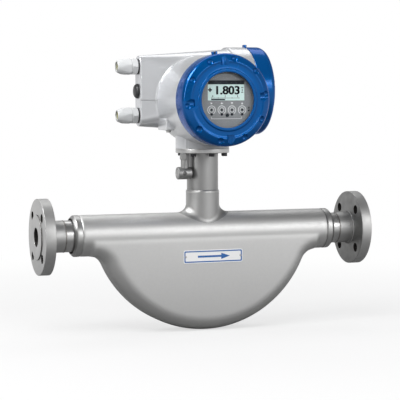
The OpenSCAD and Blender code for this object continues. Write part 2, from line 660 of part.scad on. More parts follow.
// Light guides of the four touch keys; they sense a finger through the glass and don't travel
key_count = 4;
key_pitch = 16;
key_hole_r = 3.2;
key_y = -14.5;
module key_lenses() color([0.2, 0.2, 0.22]) at_barrel() for (i = [0 : key_count - 1])
    translate([(i - (key_count - 1) / 2) * key_pitch, key_y, display_board_z + board_t])
        cylinder(r = key_hole_r - 0.05, h = face_z - display_board_z - board_t - 0.3);

// ---- terminals: local z = 0 is the terminal cover's seat ----

carrier_back = room_left_x - terminal_seat_x;
carrier_t = 4;
module terminal_carrier() color(pale_plastic) at_terminals() difference() {
    translate([0, 0, carrier_back]) cylinder(r = terminal_room_r - 0.5, h = carrier_t);
    // wires from the cable entries pass on both sides of the block
    for (s = [-1, 1]) translate([s * 28 - 6, -22, carrier_back - eps]) cube([12, 44, carrier_t + 2 * eps]);
}
block_size = [30, 84, 22];
terminal_places = 8;
terminal_pitch = 9.6;
block_z = carrier_back + carrier_t;
well_x = 7;                            // screw wells, and ways for the wires beside them
well_z = 8;
way_x = 6;
way = [8, 5, 22];
module terminal_block() color([0.15, 0.42, 0.24]) at_terminals() difference() {
    translate([-block_size[0] / 2, -block_size[1] / 2 - 6, block_z]) cube(block_size - [0, 8, 0]);
    for (i = [0 : terminal_places - 1]) translate([0, terminal_y(i), block_z]) {
        translate([-well_x, 0, well_z]) cylinder(d = 5, h = block_size[2]);
        translate([way_x, 0, way[2] * 0.64]) cube(way, center = true);
    }
}
function terminal_y(i) = -6 - 4 + (i - (terminal_places - 1) / 2) * (terminal_pitch - 0.2);
terminal_screw_len = 10;
module terminal_screws() color(dull_steel) at_terminals() for (i = [0 : terminal_places - 1])
    translate([-well_x, terminal_y(i), block_z + well_z]) difference() {
        cylinder(d = 4.8, h = terminal_screw_len);
        translate([-3, -0.4, terminal_screw_len - 1]) cube([6, 0.8, 2]);
    }

// ---- cable entries: local z = 0 is the gland face, +z points outward ----

washer_t = 2;
gland_hex_h = 9.5;
gland_spigot_r = gland_nut_d / 2 - 2.7;
gland_spigot_h = 10;
gland_bore_r = 6.6;
nut_z = washer_t + gland_hex_h + air;
seal_z = washer_t + gland_hex_h + gland_spigot_h + air;
nut_mouth_r = gland_bore_r + 0.4;
nut_shoulder_z = nut_z + gland_nut_len - 7;
module gland_body() difference() {
    union() {
        translate([0, 0, -gland_wall]) cylinder(d = gland_thread_d, h = gland_wall + washer_t + eps);
        translate([0, 0, washer_t]) hexagon(gland_hex_af, gland_hex_h);
        translate([0, 0, washer_t]) cylinder(r = gland_spigot_r, h = gland_hex_h + gland_spigot_h);
    }
    translate([0, 0, -gland_wall - eps]) cylinder(r = gland_bore_r, h = gland_wall + seal_z);
}
module gland_nut() difference() {
    union() {
        translate([0, 0, nut_z]) cylinder(d = gland_nut_d, h = gland_nut_len - 5);
        translate([0, 0, nut_z + gland_nut_len - 5]) cylinder(d1 = gland_nut_d, d2 = gland_nut_d - 6, h = 5);
    }
    translate([0, 0, nut_z - eps]) cylinder(r = gland_spigot_r + fit, h = nut_shoulder_z - nut_z);
    translate([0, 0, nut_z]) cylinder(r = nut_mouth_r, h = gland_nut_len + eps);
}
// The rubber seal sits between the spigot and the nut's shoulder and shows in the nut's mouth
module gland_seal() difference() {
    union() {
        translate([0, 0, seal_z]) cylinder(r = gland_spigot_r - air, h = nut_shoulder_z - air - seal_z);
        translate([0, 0, seal_z]) cylinder(r = nut_mouth_r - air, h = nut_z + gland_nut_len - 2 - seal_z);
    }
    translate([0, 0, seal_z - eps]) cylinder(d = cable_hole_d, h = gland_nut_len);
}
module upper_gland_body() color(pale_plastic) at_entry(1) gland_body();
module lower_gland_body() color(pale_plastic) at_entry(-1) gland_body();
module upper_gland_seal() color([0.55, 0.55, 0.30]) at_entry(1) gland_seal();
module lower_gland_seal() color([0.55, 0.55, 0.30]) at_entry(-1) gland_seal();
module upper_gland_nut() color(pale_plastic) at_entry(1) gland_nut();
module lower_gland_nut() color(pale_plastic) at_entry(-1) gland_nut();
module gland_washers() color(black_part) for (row = [-1, 1]) at_entry(row)
    ring(gland_nut_d / 2, gland_thread_d / 2, washer_t);
plug_head_h = 4;
module blind_plug() color(black_part) at_entry(0) {
    translate([0, 0, -gland_wall + 0.5]) cylinder(d = gland_thread_d, h = gland_wall - 0.5);
    rotate_extrude() intersection() {
        square([plug_head_d / 2, plug_head_h]);
        translate([0, plug_head_h - plug_dome_r]) circle(r = plug_dome_r);
    }
}
plug_dome_r = (pow(plug_head_d / 2, 2) + pow(plug_head_h - 1, 2)) / (2 * (plug_head_h - 1));

// ---- screw covers: local z = 0 is the seat, +z points outward ----

seal_cord_r = 1.3;
seal_groove = 2 * seal_cord_r + 2 * air;
lug = [9, 5, 4];
lug_rise = 3.6;
nose_in = 11;                          // how far the bevel comes in from the rim
// Threaded ring at the cover's back; the seal lies in the groove around its root
module cover_thread(bore_r) translate([0, 0, -thread_len])
    ring(bore_r - fit, bore_r - thread_wall, thread_len + eps);
module cover_outline(straight) polygon([
    [0, 0], [cover_r, 0], [cover_r, straight], [cover_r - 2.5, straight + cover_nose * 0.55],
    [cover_r - nose_in, straight + cover_nose], [0, straight + cover_nose]
]);
module cover_grips(straight) for (i = [0 : dimple_count - 1])
    rotate([0, 0, (i + 0.22) * 360 / dimple_count])
        translate([cover_r - nose_in * 0.58, 0, straight + cover_nose * 0.9 + dimple_d * 0.15]) sphere(d = dimple_d);
module seal_recess(bore_r) translate([0, 0, -eps])
    ring(bore_r - fit + seal_groove, bore_r - fit, seal_groove - air + eps);
module cover_lug() translate([-lug[0] / 2, cover_r - 1, 0]) cube([lug[0], lug_rise + 1, lug[1]]);
lock_screw_d = 3;
module lock_screw() translate([0, cover_r + lug_rise / 2, lug[1]]) difference() {
    cylinder(d = lock_screw_d, h = 1.6);
    translate([0, 0, 0.7]) hexagon(lock_screw_d / 2, 2);
}

lip_r = window_d / 2 + 3.5;
lip_rise = 1;                          // how far the lip stands over the bevel's edge
lip_t = 3.5;
glass_r = window_d / 2 + 6.5;
gasket_t = 0.5;
dish = 0.5;                            // depth of the flat between bevel and lip
front_z = display_cover_len + cover_nose + lip_rise;
glass_back = front_z - lip_t - gasket_t - glass_t;
ring_t = 3.5;
room_step = 3;                         // from the window ring to the cover's wider room
cover_room_r = barrel_bore_r - thread_wall;
slot_w = 11;                           // notch for the cover key
slot_depth = 3.8;
slot_start = glass_r + 1.5;               // the notch keeps clear of the window's seat
module display_cover() color(blue_paint) at_barrel() difference() {
    union() {
        cover_thread(barrel_bore_r);
        rotate_extrude() cover_outline(display_cover_len);
        cylinder(r = lip_r, h = front_z);
        rotate([0, 0, 7]) cover_lug();
    }
    seal_recess(barrel_bore_r);
    translate([0, 0, -thread_len - eps]) cylinder(r = cover_room_r, h = thread_len + glass_back - ring_t - room_step);
    translate([0, 0, -eps]) cylinder(r = glass_r + fit, h = front_z - lip_t + eps);
    cylinder(d = window_d, h = front_z + 1);
    // dished flat between bevel and lip, crossed by four notches for a cover key
    translate([0, 0, front_z - lip_rise - dish]) ring(cover_r - nose_in, lip_r, 3);
    cover_grips(display_cover_len);
    for (a = [0 : 90 : 270]) rotate([0, 0, a + 5]) translate([slot_start, -slot_w / 2, front_z - slot_depth])
        cube([cover_r - 3 * lip_rise - slot_start, slot_w, slot_depth + 1]);
}
module window_glass() color([0.8, 0.9, 0.95, 0.3]) at_barrel() translate([0, 0, glass_back])
    cylinder(r = glass_r, h = glass_t);
module window_gasket() color(black_part) at_barrel() translate([0, 0, glass_back + glass_t])
    ring(glass_r, window_d / 2 + 1, gasket_t);
module window_ring() color(black_part) at_barrel() translate([0, 0, glass_back - ring_t])
    ring(glass_r, bezel_r + 1, ring_t);
module cover_seal(bore_r) rotate_extrude()
    translate([bore_r - fit + air + seal_cord_r, seal_groove / 2 - air / 2]) circle(r = seal_cord_r);
module display_cover_seal() color(black_part) at_barrel() cover_seal(barrel_bore_r);
module display_lock_screw() color(black_part) at_barrel() rotate([0, 0, 7]) lock_screw();

pad_rise = 1.5;                        // raised round pad on the blind cover's front
pad_edge = 6;
module terminal_cover() color(blue_paint) at_terminals() difference() {
    union() {
        cover_thread(terminal_bore_r);
        rotate_extrude() cover_outline(terminal_cover_len);
        translate([0, 0, terminal_cover_len]) cylinder(r = cover_r - nose_in - pad_edge, h = cover_nose + pad_rise);
        rotate([0, 0, 90]) cover_lug();
    }
    seal_recess(terminal_bore_r);
    translate([0, 0, -thread_len - eps]) cylinder(r = terminal_bore_r - thread_wall, h = thread_len + terminal_cover_len);
    cover_grips(terminal_cover_len);
}
module terminal_cover_seal() color(black_part) at_terminals() cover_seal(terminal_bore_r);
module terminal_lock_screw() color(black_part) at_terminals() rotate([0, 0, 90]) lock_screw();

inlet_flange();
outlet_flange();
inlet_manifold();
outlet_manifold();
inlet_end_ring();
outlet_end_ring();
case_front_shell();
case_rear_shell();
case_label();
front_tube();
rear_tube();
brace_plates();
drive_coil();
drive_magnet();
pickoff_coils();
pickoff_magnets();
temperature_sensor();
sensor_harness();
neck_socket();
neck_tube();
neck_feedthrough();
neck_plate();
foot_screws();
ground_post();
ground_clamp();
ground_screw();
transmitter_housing();
earth_screw();
compartment_feedthrough();
electronics_can();
main_board();
display_bezel();
display_board();
lcd_panel();
key_lenses();
terminal_carrier();
terminal_block();
terminal_screws();
upper_gland_body();
lower_gland_body();
upper_gland_seal();
lower_gland_seal();
upper_gland_nut();
lower_gland_nut();
gland_washers();
blind_plug();
display_cover();
window_glass();
window_gasket();
window_ring();
display_cover_seal();
display_lock_screw();
terminal_cover();
terminal_cover_seal();
terminal_lock_screw();
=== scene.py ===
import math

import bmesh
import bpy
from mathutils import Matrix, Vector
from mathutils.bvhtree import BVHTree


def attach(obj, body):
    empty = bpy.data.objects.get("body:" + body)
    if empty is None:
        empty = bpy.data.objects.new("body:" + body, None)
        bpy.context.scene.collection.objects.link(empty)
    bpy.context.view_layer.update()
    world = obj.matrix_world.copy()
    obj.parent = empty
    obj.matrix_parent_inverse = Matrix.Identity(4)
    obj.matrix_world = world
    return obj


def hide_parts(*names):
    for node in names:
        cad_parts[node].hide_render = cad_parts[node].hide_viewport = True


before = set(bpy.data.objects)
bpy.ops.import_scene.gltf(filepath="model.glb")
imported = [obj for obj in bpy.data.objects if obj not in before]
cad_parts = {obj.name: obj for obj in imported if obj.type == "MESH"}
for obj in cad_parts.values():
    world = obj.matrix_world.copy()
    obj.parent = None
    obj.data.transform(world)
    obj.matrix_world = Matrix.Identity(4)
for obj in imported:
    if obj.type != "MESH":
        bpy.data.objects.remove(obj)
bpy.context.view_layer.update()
scene = bpy.context.scene
MM = 0.001
MID = 264.0                     # the neck's axis, mm from the inlet's raised face


# ---------------------------------------------------------------- camera
# A long lens at a little over two metres, turned to the right and tipped slightly down.
camera = bpy.data.objects.new("camera", bpy.data.cameras.new("camera"))
scene.collection.objects.link(camera)
camera.data.lens = 136.87
camera.data.sensor_width = 36
camera.data.clip_end = 60
camera.location = (-0.5157, -2.2170, 0.2057)
camera.rotation_euler = (math.radians(86.197), math.radians(0.174), math.radians(-19.293))
scene.camera = camera


# ---------------------------------------------------------------- studio
# A white floor and a white surround. Soft light comes from the surround and from six lamps, and
# metal and glass are shown a surround with tones of its own.
AIM = Vector((MID * MM, 0, 0.06))               # what the lamps point at, in metres
FLOOR_AT = Vector((MID * MM, 0, -0.1503))       # the floor's middle, just under the belly
scene.view_settings.view_transform = "Standard"


def new_tree(owner):
    """An empty node tree for a world or a material."""
    owner.use_nodes = True
    owner.node_tree.nodes.clear()
    return owner.node_tree


def fed(tree, value, target):
    """Links a socket to the target, or sets a number or a colour on it."""
    if isinstance(value, bpy.types.NodeSocket):
        tree.links.new(value, target)
    else:
        target.default_value = (*value, 1) if isinstance(value, tuple) else value


def ranged(tree, source, low, high, start=0.0, stop=1.0, shape="LINEAR"):
    """A value that runs from start to stop, laid out from low to high."""
    lay = tree.nodes.new("ShaderNodeMapRange")
    lay.interpolation_type = shape
    for key, value in (("From Min", start), ("From Max", stop), ("To Min", low), ("To Max", high)):
        lay.inputs[key].default_value = value
    tree.links.new(source, lay.inputs["Value"])
    return lay.outputs["Result"]


def mixed(tree, factor, low, high, kind="MIX"):
    """The colour between two, each a colour or a socket."""
    mix = tree.nodes.new("ShaderNodeMix")
    mix.data_type, mix.blend_type = "RGBA", kind
    for value, target in ((factor, mix.inputs["Factor"]), (low, mix.inputs[6]), (high, mix.inputs[7])):
        fed(tree, value, target)
    return mix.outputs[2]


def worked(tree, operation, first, second):
    """Two values through one Math node."""
    step = tree.nodes.new("ShaderNodeMath")
    step.operation = operation
    tree.links.new(first, step.inputs[0])
    tree.links.new(second, step.inputs[1])
    return step.outputs[0]


def surfaced(tree, share, first, second, out):
    """Two shaders mixed into the surface of an output."""
    pick = tree.nodes.new("ShaderNodeMixShader")
    for target, source in enumerate((share, first, second)):
        tree.links.new(source, pick.inputs[target])
    tree.links.new(pick.outputs[0], out.inputs["Surface"])


world = bpy.data.worlds.new("studio")
scene.world = world
sky = new_tree(world)
split = sky.nodes.new("ShaderNodeSeparateXYZ")
sky.links.new(sky.nodes.new("ShaderNodeTexCoord").outputs["Generated"], split.inputs[0])


def greys_by_height(*stops):
    """Grey levels by height: 0 is straight down, 0.5 the horizon and 1 straight up."""
    shade = sky.nodes.new("ShaderNodeValToRGB")
    while len(shade.color_ramp.elements) < len(stops):
        shade.color_ramp.elements.new(0.5)
    for stop, (place, level) in zip(shade.color_ramp.elements, stops):
        stop.position, stop.color = place, (level, level, level * 1.01, 1)
    sky.links.new(ranged(sky, split.outputs["Z"], 0, 1, -1, 1), shade.inputs["Fac"])
    return shade.outputs["Color"]


# what falls on matt surfaces: bright from overhead, and a little brighter from the right
ambient = greys_by_height((0.0, 0.01), (0.46, 0.05), (0.54, 0.18), (0.66, 0.46), (1.0, 0.72))
ambient = mixed(sky, 1.0, ambient, ranged(sky, split.outputs["X"], 0.85, 1.05, -0.9, 0.6), "MULTIPLY")
# what metal and glass show: a dim ceiling, a pale front that is darker to the left, and a
# white room behind
mirrored = greys_by_height((0.0, 0.12), (0.45, 0.56), (0.53, 0.84), (0.64, 0.46), (0.80, 0.21), (1.0, 0.14))
rightward = ranged(sky, split.outputs["X"], 0.30, 1.05, -0.42, 0.22, "SMOOTHSTEP")
mirrored = mixed(sky, 1.0, mirrored, rightward, "MULTIPLY")
behind = greys_by_height((0.0, 0.2), (0.44, 0.75), (0.50, 1.0), (0.56, 0.75), (0.66, 0.28), (1.0, 0.16))
backward = ranged(sky, split.outputs["Y"], 0, 1, 0.35, 0.85, "SMOOTHSTEP")
mirrored = mixed(sky, backward, mirrored, behind)
rays = sky.nodes.new("ShaderNodeLightPath").outputs
seen = worked(sky, "MAXIMUM", rays["Is Camera Ray"], rays["Is Transmission Ray"])
colour = mixed(sky, rays["Is Glossy Ray"], ambient, mirrored)
surround = sky.nodes.new("ShaderNodeBackground")
sky.links.new(mixed(sky, seen, colour, (1, 1, 1)), surround.inputs["Color"])
sky.links.new(surround.outputs[0], sky.nodes.new("ShaderNodeOutputWorld").inputs["Surface"])


def lamp(name, azimuth, elevation, distance, wide, high, power):
    """A softbox aimed at the meter; azimuth 0 is straight in front, positive to the right."""
    light = bpy.data.lights.new(name, "AREA")
    light.shape = "RECTANGLE"
    light.size, light.size_y, light.energy = wide, high, power
    box = bpy.data.objects.new(name, light)
    scene.collection.objects.link(box)
    a, e = math.radians(azimuth), math.radians(elevation)
    way = Vector((math.sin(a) * math.cos(e), -math.cos(a) * math.cos(e), math.sin(e)))
    box.location = AIM + distance * way
    box.rotation_euler = (AIM - box.location).to_track_quat("-Z", "Y").to_euler()
    return box


lamp("key", 30, 19, 2.6, 1.9, 0.9, 13)
lamp("front_strip", 12, 22, 2.4, 2.2, 0.3, 9)
lamp("soft_left", -34, 52, 2.4, 1.5, 1.5, 23).visible_glossy = False
lamp("left_strip", -70, 30, 2.1, 0.20, 1.9, 18)
lamp("high_left", -92, 48, 2.2, 0.7, 0.9, 36).visible_diffuse = False
lamp("back_top", 170, 55, 2.4, 2.0, 1.0, 12)

floor_mesh = bpy.data.meshes.new("floor")
sheet = bmesh.new()
bmesh.ops.create_grid(sheet, x_segments=1, y_segments=1, size=14)
bmesh.ops.translate(sheet, verts=sheet.verts, vec=FLOOR_AT)
sheet.to_mesh(floor_mesh)
sheet.free()
floor = bpy.data.objects.new("floor", floor_mesh)
scene.collection.objects.link(floor)
paper = bpy.data.materials.new("floor_paper")
tree = new_tree(paper)
from_middle = tree.nodes.new("ShaderNodeVectorMath")
from_middle.operation = "DISTANCE"
from_middle.inputs[1].default_value = FLOOR_AT
tree.links.new(tree.nodes.new("ShaderNodeTexCoord").outputs["Object"], from_middle.inputs[0])
far = ranged(tree, from_middle.outputs["Value"], 0, 1, 0.35, 1.15, "SMOOTHSTEP")
rays = tree.nodes.new("ShaderNodeLightPath").outputs
seen = worked(tree, "MAXIMUM", rays["Is Camera Ray"], rays["Is Transmission Ray"])
# the camera sees white paper that keeps a soft shadow; metal sees it dim near the meter and
# white further off
straight = worked(tree, "MULTIPLY", seen, ranged(tree, far, 0.65, 1.0))
reflected = worked(tree, "MULTIPLY", rays["Is Glossy Ray"], far)
white_share = worked(tree, "MAXIMUM", straight, reflected)
matt = tree.nodes.new("ShaderNodeBsdfDiffuse")
tree.links.new(mixed(tree, seen, (0.21, 0.21, 0.21), (0.70, 0.70, 0.70)), matt.inputs["Color"])
white = tree.nodes.new("ShaderNodeEmission")
surfaced(tree, white_share, matt.outputs[0], white.outputs[0], tree.nodes.new("ShaderNodeOutputMaterial"))
floor_mesh.materials.append(paper)


# ---------------------------------------------------------------- pipe flanges
# Forged weld-neck flanges, with fine turning marks on the raised sealing face and the rim, and
# a rougher back, darkened as painted shade of the hub and pipe; the bores, bolt holes and the step
# at the raised face are near black, painted shade as well. Four bolt holes straddle the vertical.
# Each hub ends at the pipe weld.
FACE_TO_FACE = 528.0
FLANGE_R = 57.5
FLANGE_THICK = 18.0
RAISED_R = 34.0
HUB_R = 24.15
BORE_R = 14.25
BOLT_RING_R = 42.5
BOLT_HOLE_R = 7.0
BOLT_TURNS = [math.radians(45 + 90 * k) for k in range(4)]
WELD_AT = 41.0                  # from the raised face to the pipe weld


def eased(corners, steps=4):
    """Corners are (radius, height, rounding) in mm; gives the line with its corners rounded."""
    line = []
    for i, (r, h, ease) in enumerate(corners):
        here = Vector((r, h))
        if ease <= 0:
            line.append(here)
            continue
        back = Vector(corners[i - 1][:2]) - here
        on = Vector(corners[(i + 1) % len(corners)][:2]) - here
        ease = min(ease, 0.48 * back.length, 0.48 * on.length)
        start, end = here + back.normalized() * ease, here + on.normalized() * ease
        for k in range(steps + 1):
            t = k / steps
            line.append(start * (1 - t) ** 2 + here * 2 * t * (1 - t) + end * t * t)
    return line


def turned(corners, steps=128, closed=True):
    """A turned piece about local Z from the corners of its half section."""
    bm = bmesh.new()
    line = [bm.verts.new((max(p.x, 0.0) * MM, 0, p.y * MM)) for p in eased(corners)]
    edges = [bm.edges.new(pair) for pair in zip(line, line[1:])]
    if closed:
        edges.append(bm.edges.new((line[-1], line[0])))
    bmesh.ops.spin(bm, geom=line + edges, cent=(0, 0, 0), axis=(0, 0, 1), angle=math.tau,
                   steps=steps, use_merge=True)
    bmesh.ops.remove_doubles(bm, verts=bm.verts, dist=1e-6)
    bmesh.ops.dissolve_degenerate(bm, edges=bm.edges, dist=1e-7)
    bmesh.ops.recalc_face_normals(bm, faces=bm.faces)
    return bm


def rod(radius, low, high, steps=64):
    """A plain cylinder along local Z, sizes in mm, used as a cutter or a core."""
    bm = bmesh.new()
    bmesh.ops.create_cone(bm, cap_ends=True, segments=steps, radius1=radius * MM, radius2=radius * MM,
                          depth=(high - low) * MM)
    bmesh.ops.translate(bm, verts=bm.verts, vec=(0, 0, (low + high) / 2 * MM))
    return bm


def block(low, high, ease=0.0):
    """A box between two corners in mm, with rounded edges if ease is given."""
    bm = bmesh.new()
    bmesh.ops.create_cube(bm, size=1)
    size = [(h - l) * MM for l, h in zip(low, high)]
    bmesh.ops.scale(bm, verts=bm.verts, vec=size)
    bmesh.ops.translate(bm, verts=bm.verts, vec=[(h + l) / 2 * MM for l, h in zip(low, high)])
    if ease:
        bmesh.ops.bevel(bm, geom=bm.edges[:], offset=ease * MM, affect="EDGES", segments=3,
                        profile=0.5, material=-1)
    return bm


def laid(bm, place):
    """The bmesh moved to its place; a mirroring place has its faces turned outward again."""
    bmesh.ops.transform(bm, matrix=place, verts=bm.verts)
    if place.determinant() < 0:
        bmesh.ops.reverse_faces(bm, faces=bm.faces)
    return bm


def spot(x, y, z):
    """The place at x, y, z in mm."""
    return Matrix.Translation(Vector((x, y, z)) * MM)


def joined(*parts):
    """Several bmeshes as one; the sources are freed."""
    whole = bmesh.new()
    for part in parts:
        carrier = bpy.data.meshes.new("carrier")
        part.to_mesh(carrier)
        part.free()
        whole.from_mesh(carrier)
        bpy.data.meshes.remove(carrier)
    return whole


def through(bm, make_modifier):
    """The bmesh after one modifier."""
    mesh = bpy.data.meshes.new("blank")
    bm.to_mesh(mesh)
    bm.free()
    blank = bpy.data.objects.new("blank", mesh)
    scene.collection.objects.link(blank)
    make_modifier(blank)
    result = bpy.data.meshes.new_from_object(blank.evaluated_get(bpy.context.evaluated_depsgraph_get()))
    bpy.data.objects.remove(blank)
    bpy.data.meshes.remove(mesh)
    bm = bmesh.new()
    bm.from_mesh(result)
    bpy.data.meshes.remove(result)
    return bm


def carved(bm, tool, operation="DIFFERENCE", solver="EXACT"):
    """The bmesh with the tool's shape cut out of it, or joined to it; the tool is used up."""
    tool_mesh = bpy.data.meshes.new("tool")
    tool.to_mesh(tool_mesh)
    tool.free()
    cutter = bpy.data.objects.new("tool", tool_mesh)
    scene.collection.objects.link(cutter)

    def cut(blank):
        step = blank.modifiers.new("cut", "BOOLEAN")
        step.operation, step.solver, step.object = operation, solver, cutter
    bm = through(bm, cut)
    bpy.data.objects.remove(cutter)
    bpy.data.meshes.remove(tool_mesh)
    return bm


def finished(bm, name, body, finish, stands_for=(), crease=32, soften=0.0):
    """Makes the named piece from a bmesh, smooth but for its creases, and puts it on its body."""
    mesh = bpy.data.meshes.new(name)
    bm.normal_update()
    bm.to_mesh(mesh)
    bm.free()
    mesh.polygons.foreach_set("use_smooth", [True] * len(mesh.polygons))
    mesh.set_sharp_from_angle(angle=math.radians(crease))
    mesh.materials.append(finish.material)
    piece = bpy.data.objects.new(name, mesh)
    scene.collection.objects.link(piece)
    if soften:
        edge = piece.modifiers.new("eased_edges", "BEVEL")
        edge.width, edge.segments, edge.limit_method = soften * MM, 2, "ANGLE"
        edge.angle_limit = math.radians(38)
        edge.harden_normals = True
        edge.use_clamp_overlap = True
    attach(piece, body)
    if stands_for:
        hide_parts(*stands_for)
    return piece


class Finish:
    """A node material in the making: textures read Object coordinates, in metres."""

    def __init__(self, name):
        self.material = bpy.data.materials.new(name)
        self.material.use_nodes = True
        self.tree = self.material.node_tree
        self.shader = self.tree.nodes["Principled BSDF"]
        self.where = self.tree.nodes.new("ShaderNodeTexCoord").outputs["Object"]

    def set(self, **values):
        for key, value in values.items():
            self.shader.inputs[key.replace("_", " ")].default_value = value
        return self

    def link(self, source, target):
        self.tree.links.new(source, target)

    def noise(self, scale, detail=3.0, stretch=(1, 1, 1), rough=0.55):
        spread = self.tree.nodes.new("ShaderNodeMapping")
        spread.inputs["Scale"].default_value = stretch
        self.link(self.where, spread.inputs["Vector"])
        grain = self.tree.nodes.new("ShaderNodeTexNoise")
        grain.inputs["Scale"].default_value = scale
        grain.inputs["Detail"].default_value = detail
        grain.inputs["Roughness"].default_value = rough
        self.link(spread.outputs[0], grain.inputs["Vector"])
        return grain.outputs["Fac"]

    def rings(self, pitch_mm, axis="X", bands=False, waver=0.0):
        """Turning marks: rings about an axis through the origin, or bands along it."""
        wave = self.tree.nodes.new("ShaderNodeTexWave")
        wave.wave_type = "BANDS" if bands else "RINGS"
        if bands:
            wave.bands_direction = axis
        else:
            wave.rings_direction = axis
        wave.inputs["Scale"].default_value = math.tau / (20 * pitch_mm * MM)
        wave.inputs["Distortion"].default_value = waver
        self.link(self.where, wave.inputs["Vector"])
        return wave.outputs["Fac"]

    def spread(self, source, low, high, start=0.3, stop=0.7):
        return ranged(self.tree, source, low, high, start, stop)

    def blend(self, factor, low, high):
        return mixed(self.tree, factor, low, high)

    def worn(self, amount):
        """Higher on edges than on faces."""
        shape = self.tree.nodes.new("ShaderNodeNewGeometry")
        return self.spread(shape.outputs["Pointiness"], 0.0, amount, 0.505, 0.56)

    def bumps(self, *layers):
        """Each layer is (source, height in mm, strength)."""
        normal = None
        for source, deep, strength in layers:
            bump = self.tree.nodes.new("ShaderNodeBump")
            bump.inputs["Distance"].default_value = deep * MM
            bump.inputs["Strength"].default_value = strength
            self.link(source, bump.inputs["Height"])
            if normal:
                self.link(normal, bump.inputs["Normal"])
            normal = bump.outputs["Normal"]
        self.link(normal, self.shader.inputs["Normal"])
        return self

    def colour(self, socket):
        self.link(socket, self.shader.inputs["Base Color"])
        return self

    def roughness(self, socket):
        self.link(socket, self.shader.inputs["Roughness"])
        return self


def mottled(name, cloud, low, high, grain, rough, *bumps, **values):
    """A finish with a cloud between two colours and a grain in its roughness.

    cloud and grain are what noise takes; each bump is such a noise, its height in mm and its strength.
    """
    made = Finish(name).set(**values)
    made.colour(made.blend(made.noise(*cloud), low, high))
    made.roughness(made.spread(made.noise(*grain), *rough))
    if bumps:
        made.bumps(*[(made.noise(*noise), deep, strength) for noise, deep, strength in bumps])
    return made


def second_finish(piece, finish, chosen):
    """Gives the faces that are chosen by their middle, in mm, and their normal another finish."""
    piece.data.materials.append(finish.material)
    for face in piece.data.polygons:
        if chosen(face.center / MM, face.normal):
            face.material_index = len(piece.data.materials) - 1


turned_steel = mottled("turned_steel", (14, 4), (0.47, 0.47, 0.465), (0.54, 0.54, 0.535), (60, 3),
                       (0.44, 0.56), Metallic=1.0)
turned_steel.bumps((turned_steel.rings(0.8), 0.03, 0.10), (turned_steel.noise(900, 2), 0.03, 0.12))
# painted shade: near-black steel for the bores, the bolt holes and the step at the raised face, where little
# light gets in
bore_shade_steel = mottled("bore_painted_shade_steel", (90, 4), (0.030, 0.028, 0.026), (0.075, 0.070, 0.066), (160, 3),
                     (0.5, 0.7), ((600, 3), 0.05, 0.3), Metallic=0.8)
# painted shade: the flange backs are a rougher forged steel, their colour darkened for the shade of the hub
# and pipe
forged_back_shaded = mottled("forged_back_painted_shade", (40, 4), (0.27, 0.27, 0.265), (0.34, 0.34, 0.335), (90, 3),
                       (0.42, 0.58), ((500, 3), 0.05, 0.25), Metallic=1.0)


def in_the_bores(middle, normal):
    """The walls of the bore and of the bolt holes, and the step around the raised face, which get painted
    shade.
    """
    from_axis = math.hypot(middle.y, middle.z)
    from_bolt = min(math.hypot(middle.y - BOLT_RING_R * math.sin(a), middle.z - BOLT_RING_R * math.cos(a))
                    for a in BOLT_TURNS)
    in_step = RAISED_R - 1.0 < from_axis < RAISED_R + 0.4
    return abs(normal.x) < 0.5 and (from_axis < BORE_R + 0.25 or from_bolt < BOLT_HOLE_R + 0.2 or in_step)


ALONG_X = Matrix.Rotation(math.pi / 2, 4, "Y")
AGAINST_X = Matrix.Rotation(-math.pi / 2, 4, "Y")
PIPE_END = {"inlet": ALONG_X, "outlet": spot(FACE_TO_FACE, 0, 0) @ AGAINST_X}
for end, place in PIPE_END.items():
    flange = turned([
        (BORE_R, 0, 0.8), (RAISED_R, 0, 0.5), (RAISED_R, 2, 0.5), (FLANGE_R, 2, 1.0),
        (FLANGE_R, FLANGE_THICK, 1.0), (26.6, FLANGE_THICK, 0.4), (26.2, 19.3, 0.6), (HUB_R, 20.4, 0.5),
        (HUB_R, WELD_AT, 0.5), (BORE_R, WELD_AT, 0)], steps=160)
    for turn in BOLT_TURNS:
        hole = laid(rod(BOLT_HOLE_R, -3, 24, 40), Matrix.Rotation(turn, 4, "Z") @ spot(BOLT_RING_R, 0, 0))
        flange = carved(flange, hole)
    piece = finished(laid(flange, place), end + "_flange_turned", "meter", turned_steel,
                     (end + "_flange",), soften=0.5)
    away = 1 if end == "inlet" else -1
    # the back faces take the darker steel, painted shade
    second_finish(piece, forged_back_shaded, lambda middle, normal: normal.x * away > 0.6)
    second_finish(piece, bore_shade_steel, in_the_bores)


# ---------------------------------------------------------------- flow splitters and pipe welds
# Cast pieces that take the pipe's bore to the two measuring tubes; only their ground necks show
# between the flange hub and the casing. A narrow orbital weld joins each to its flange.
pipe_steel = mottled("ground_pipe_steel", (22, 4), (0.50, 0.50, 0.495), (0.60, 0.60, 0.595),
                     (110, 3, (0.3, 1, 1)), (0.27, 0.37), Metallic=1.0)
pipe_steel.bumps((pipe_steel.rings(0.5, bands=True, waver=0.6), 0.02, 0.10),
                 (pipe_steel.noise(700, 2), 0.02, 0.08))

weld_steel = Finish("weld_steel").set(Metallic=1.0)
tint = weld_steel.noise(160, 4)
weld_steel.colour(weld_steel.blend(tint, (0.20, 0.19, 0.18), (0.40, 0.385, 0.37)))
weld_steel.roughness(weld_steel.spread(tint, 0.34, 0.52))
weld_steel.bumps((weld_steel.noise(700, 3), 0.15, 0.5))


def rippled(bm, share, ripples, skew):
    """A weld's ripples: its radius swells by a share, so many times around local Z."""
    for v in bm.verts:
        swell = 1 + share * math.sin(ripples * math.atan2(v.co.y, v.co.x) + skew * v.co.z)
        v.co.x, v.co.y = v.co.x * swell, v.co.y * swell
    return bm


def weld_ring(radius, half, proud):
    """A bead around local Z: half its width and its height over the pipe, in mm."""
    inner, foot = radius - 1, radius - 0.05
    bm = turned([(inner, -half, 0), (foot, -half, 0.1), (radius + proud, 0, half), (foot, half, 0.1),
                 (inner, half, 0)], steps=192)
    return rippled(bm, 0.0035, 64, 1800)


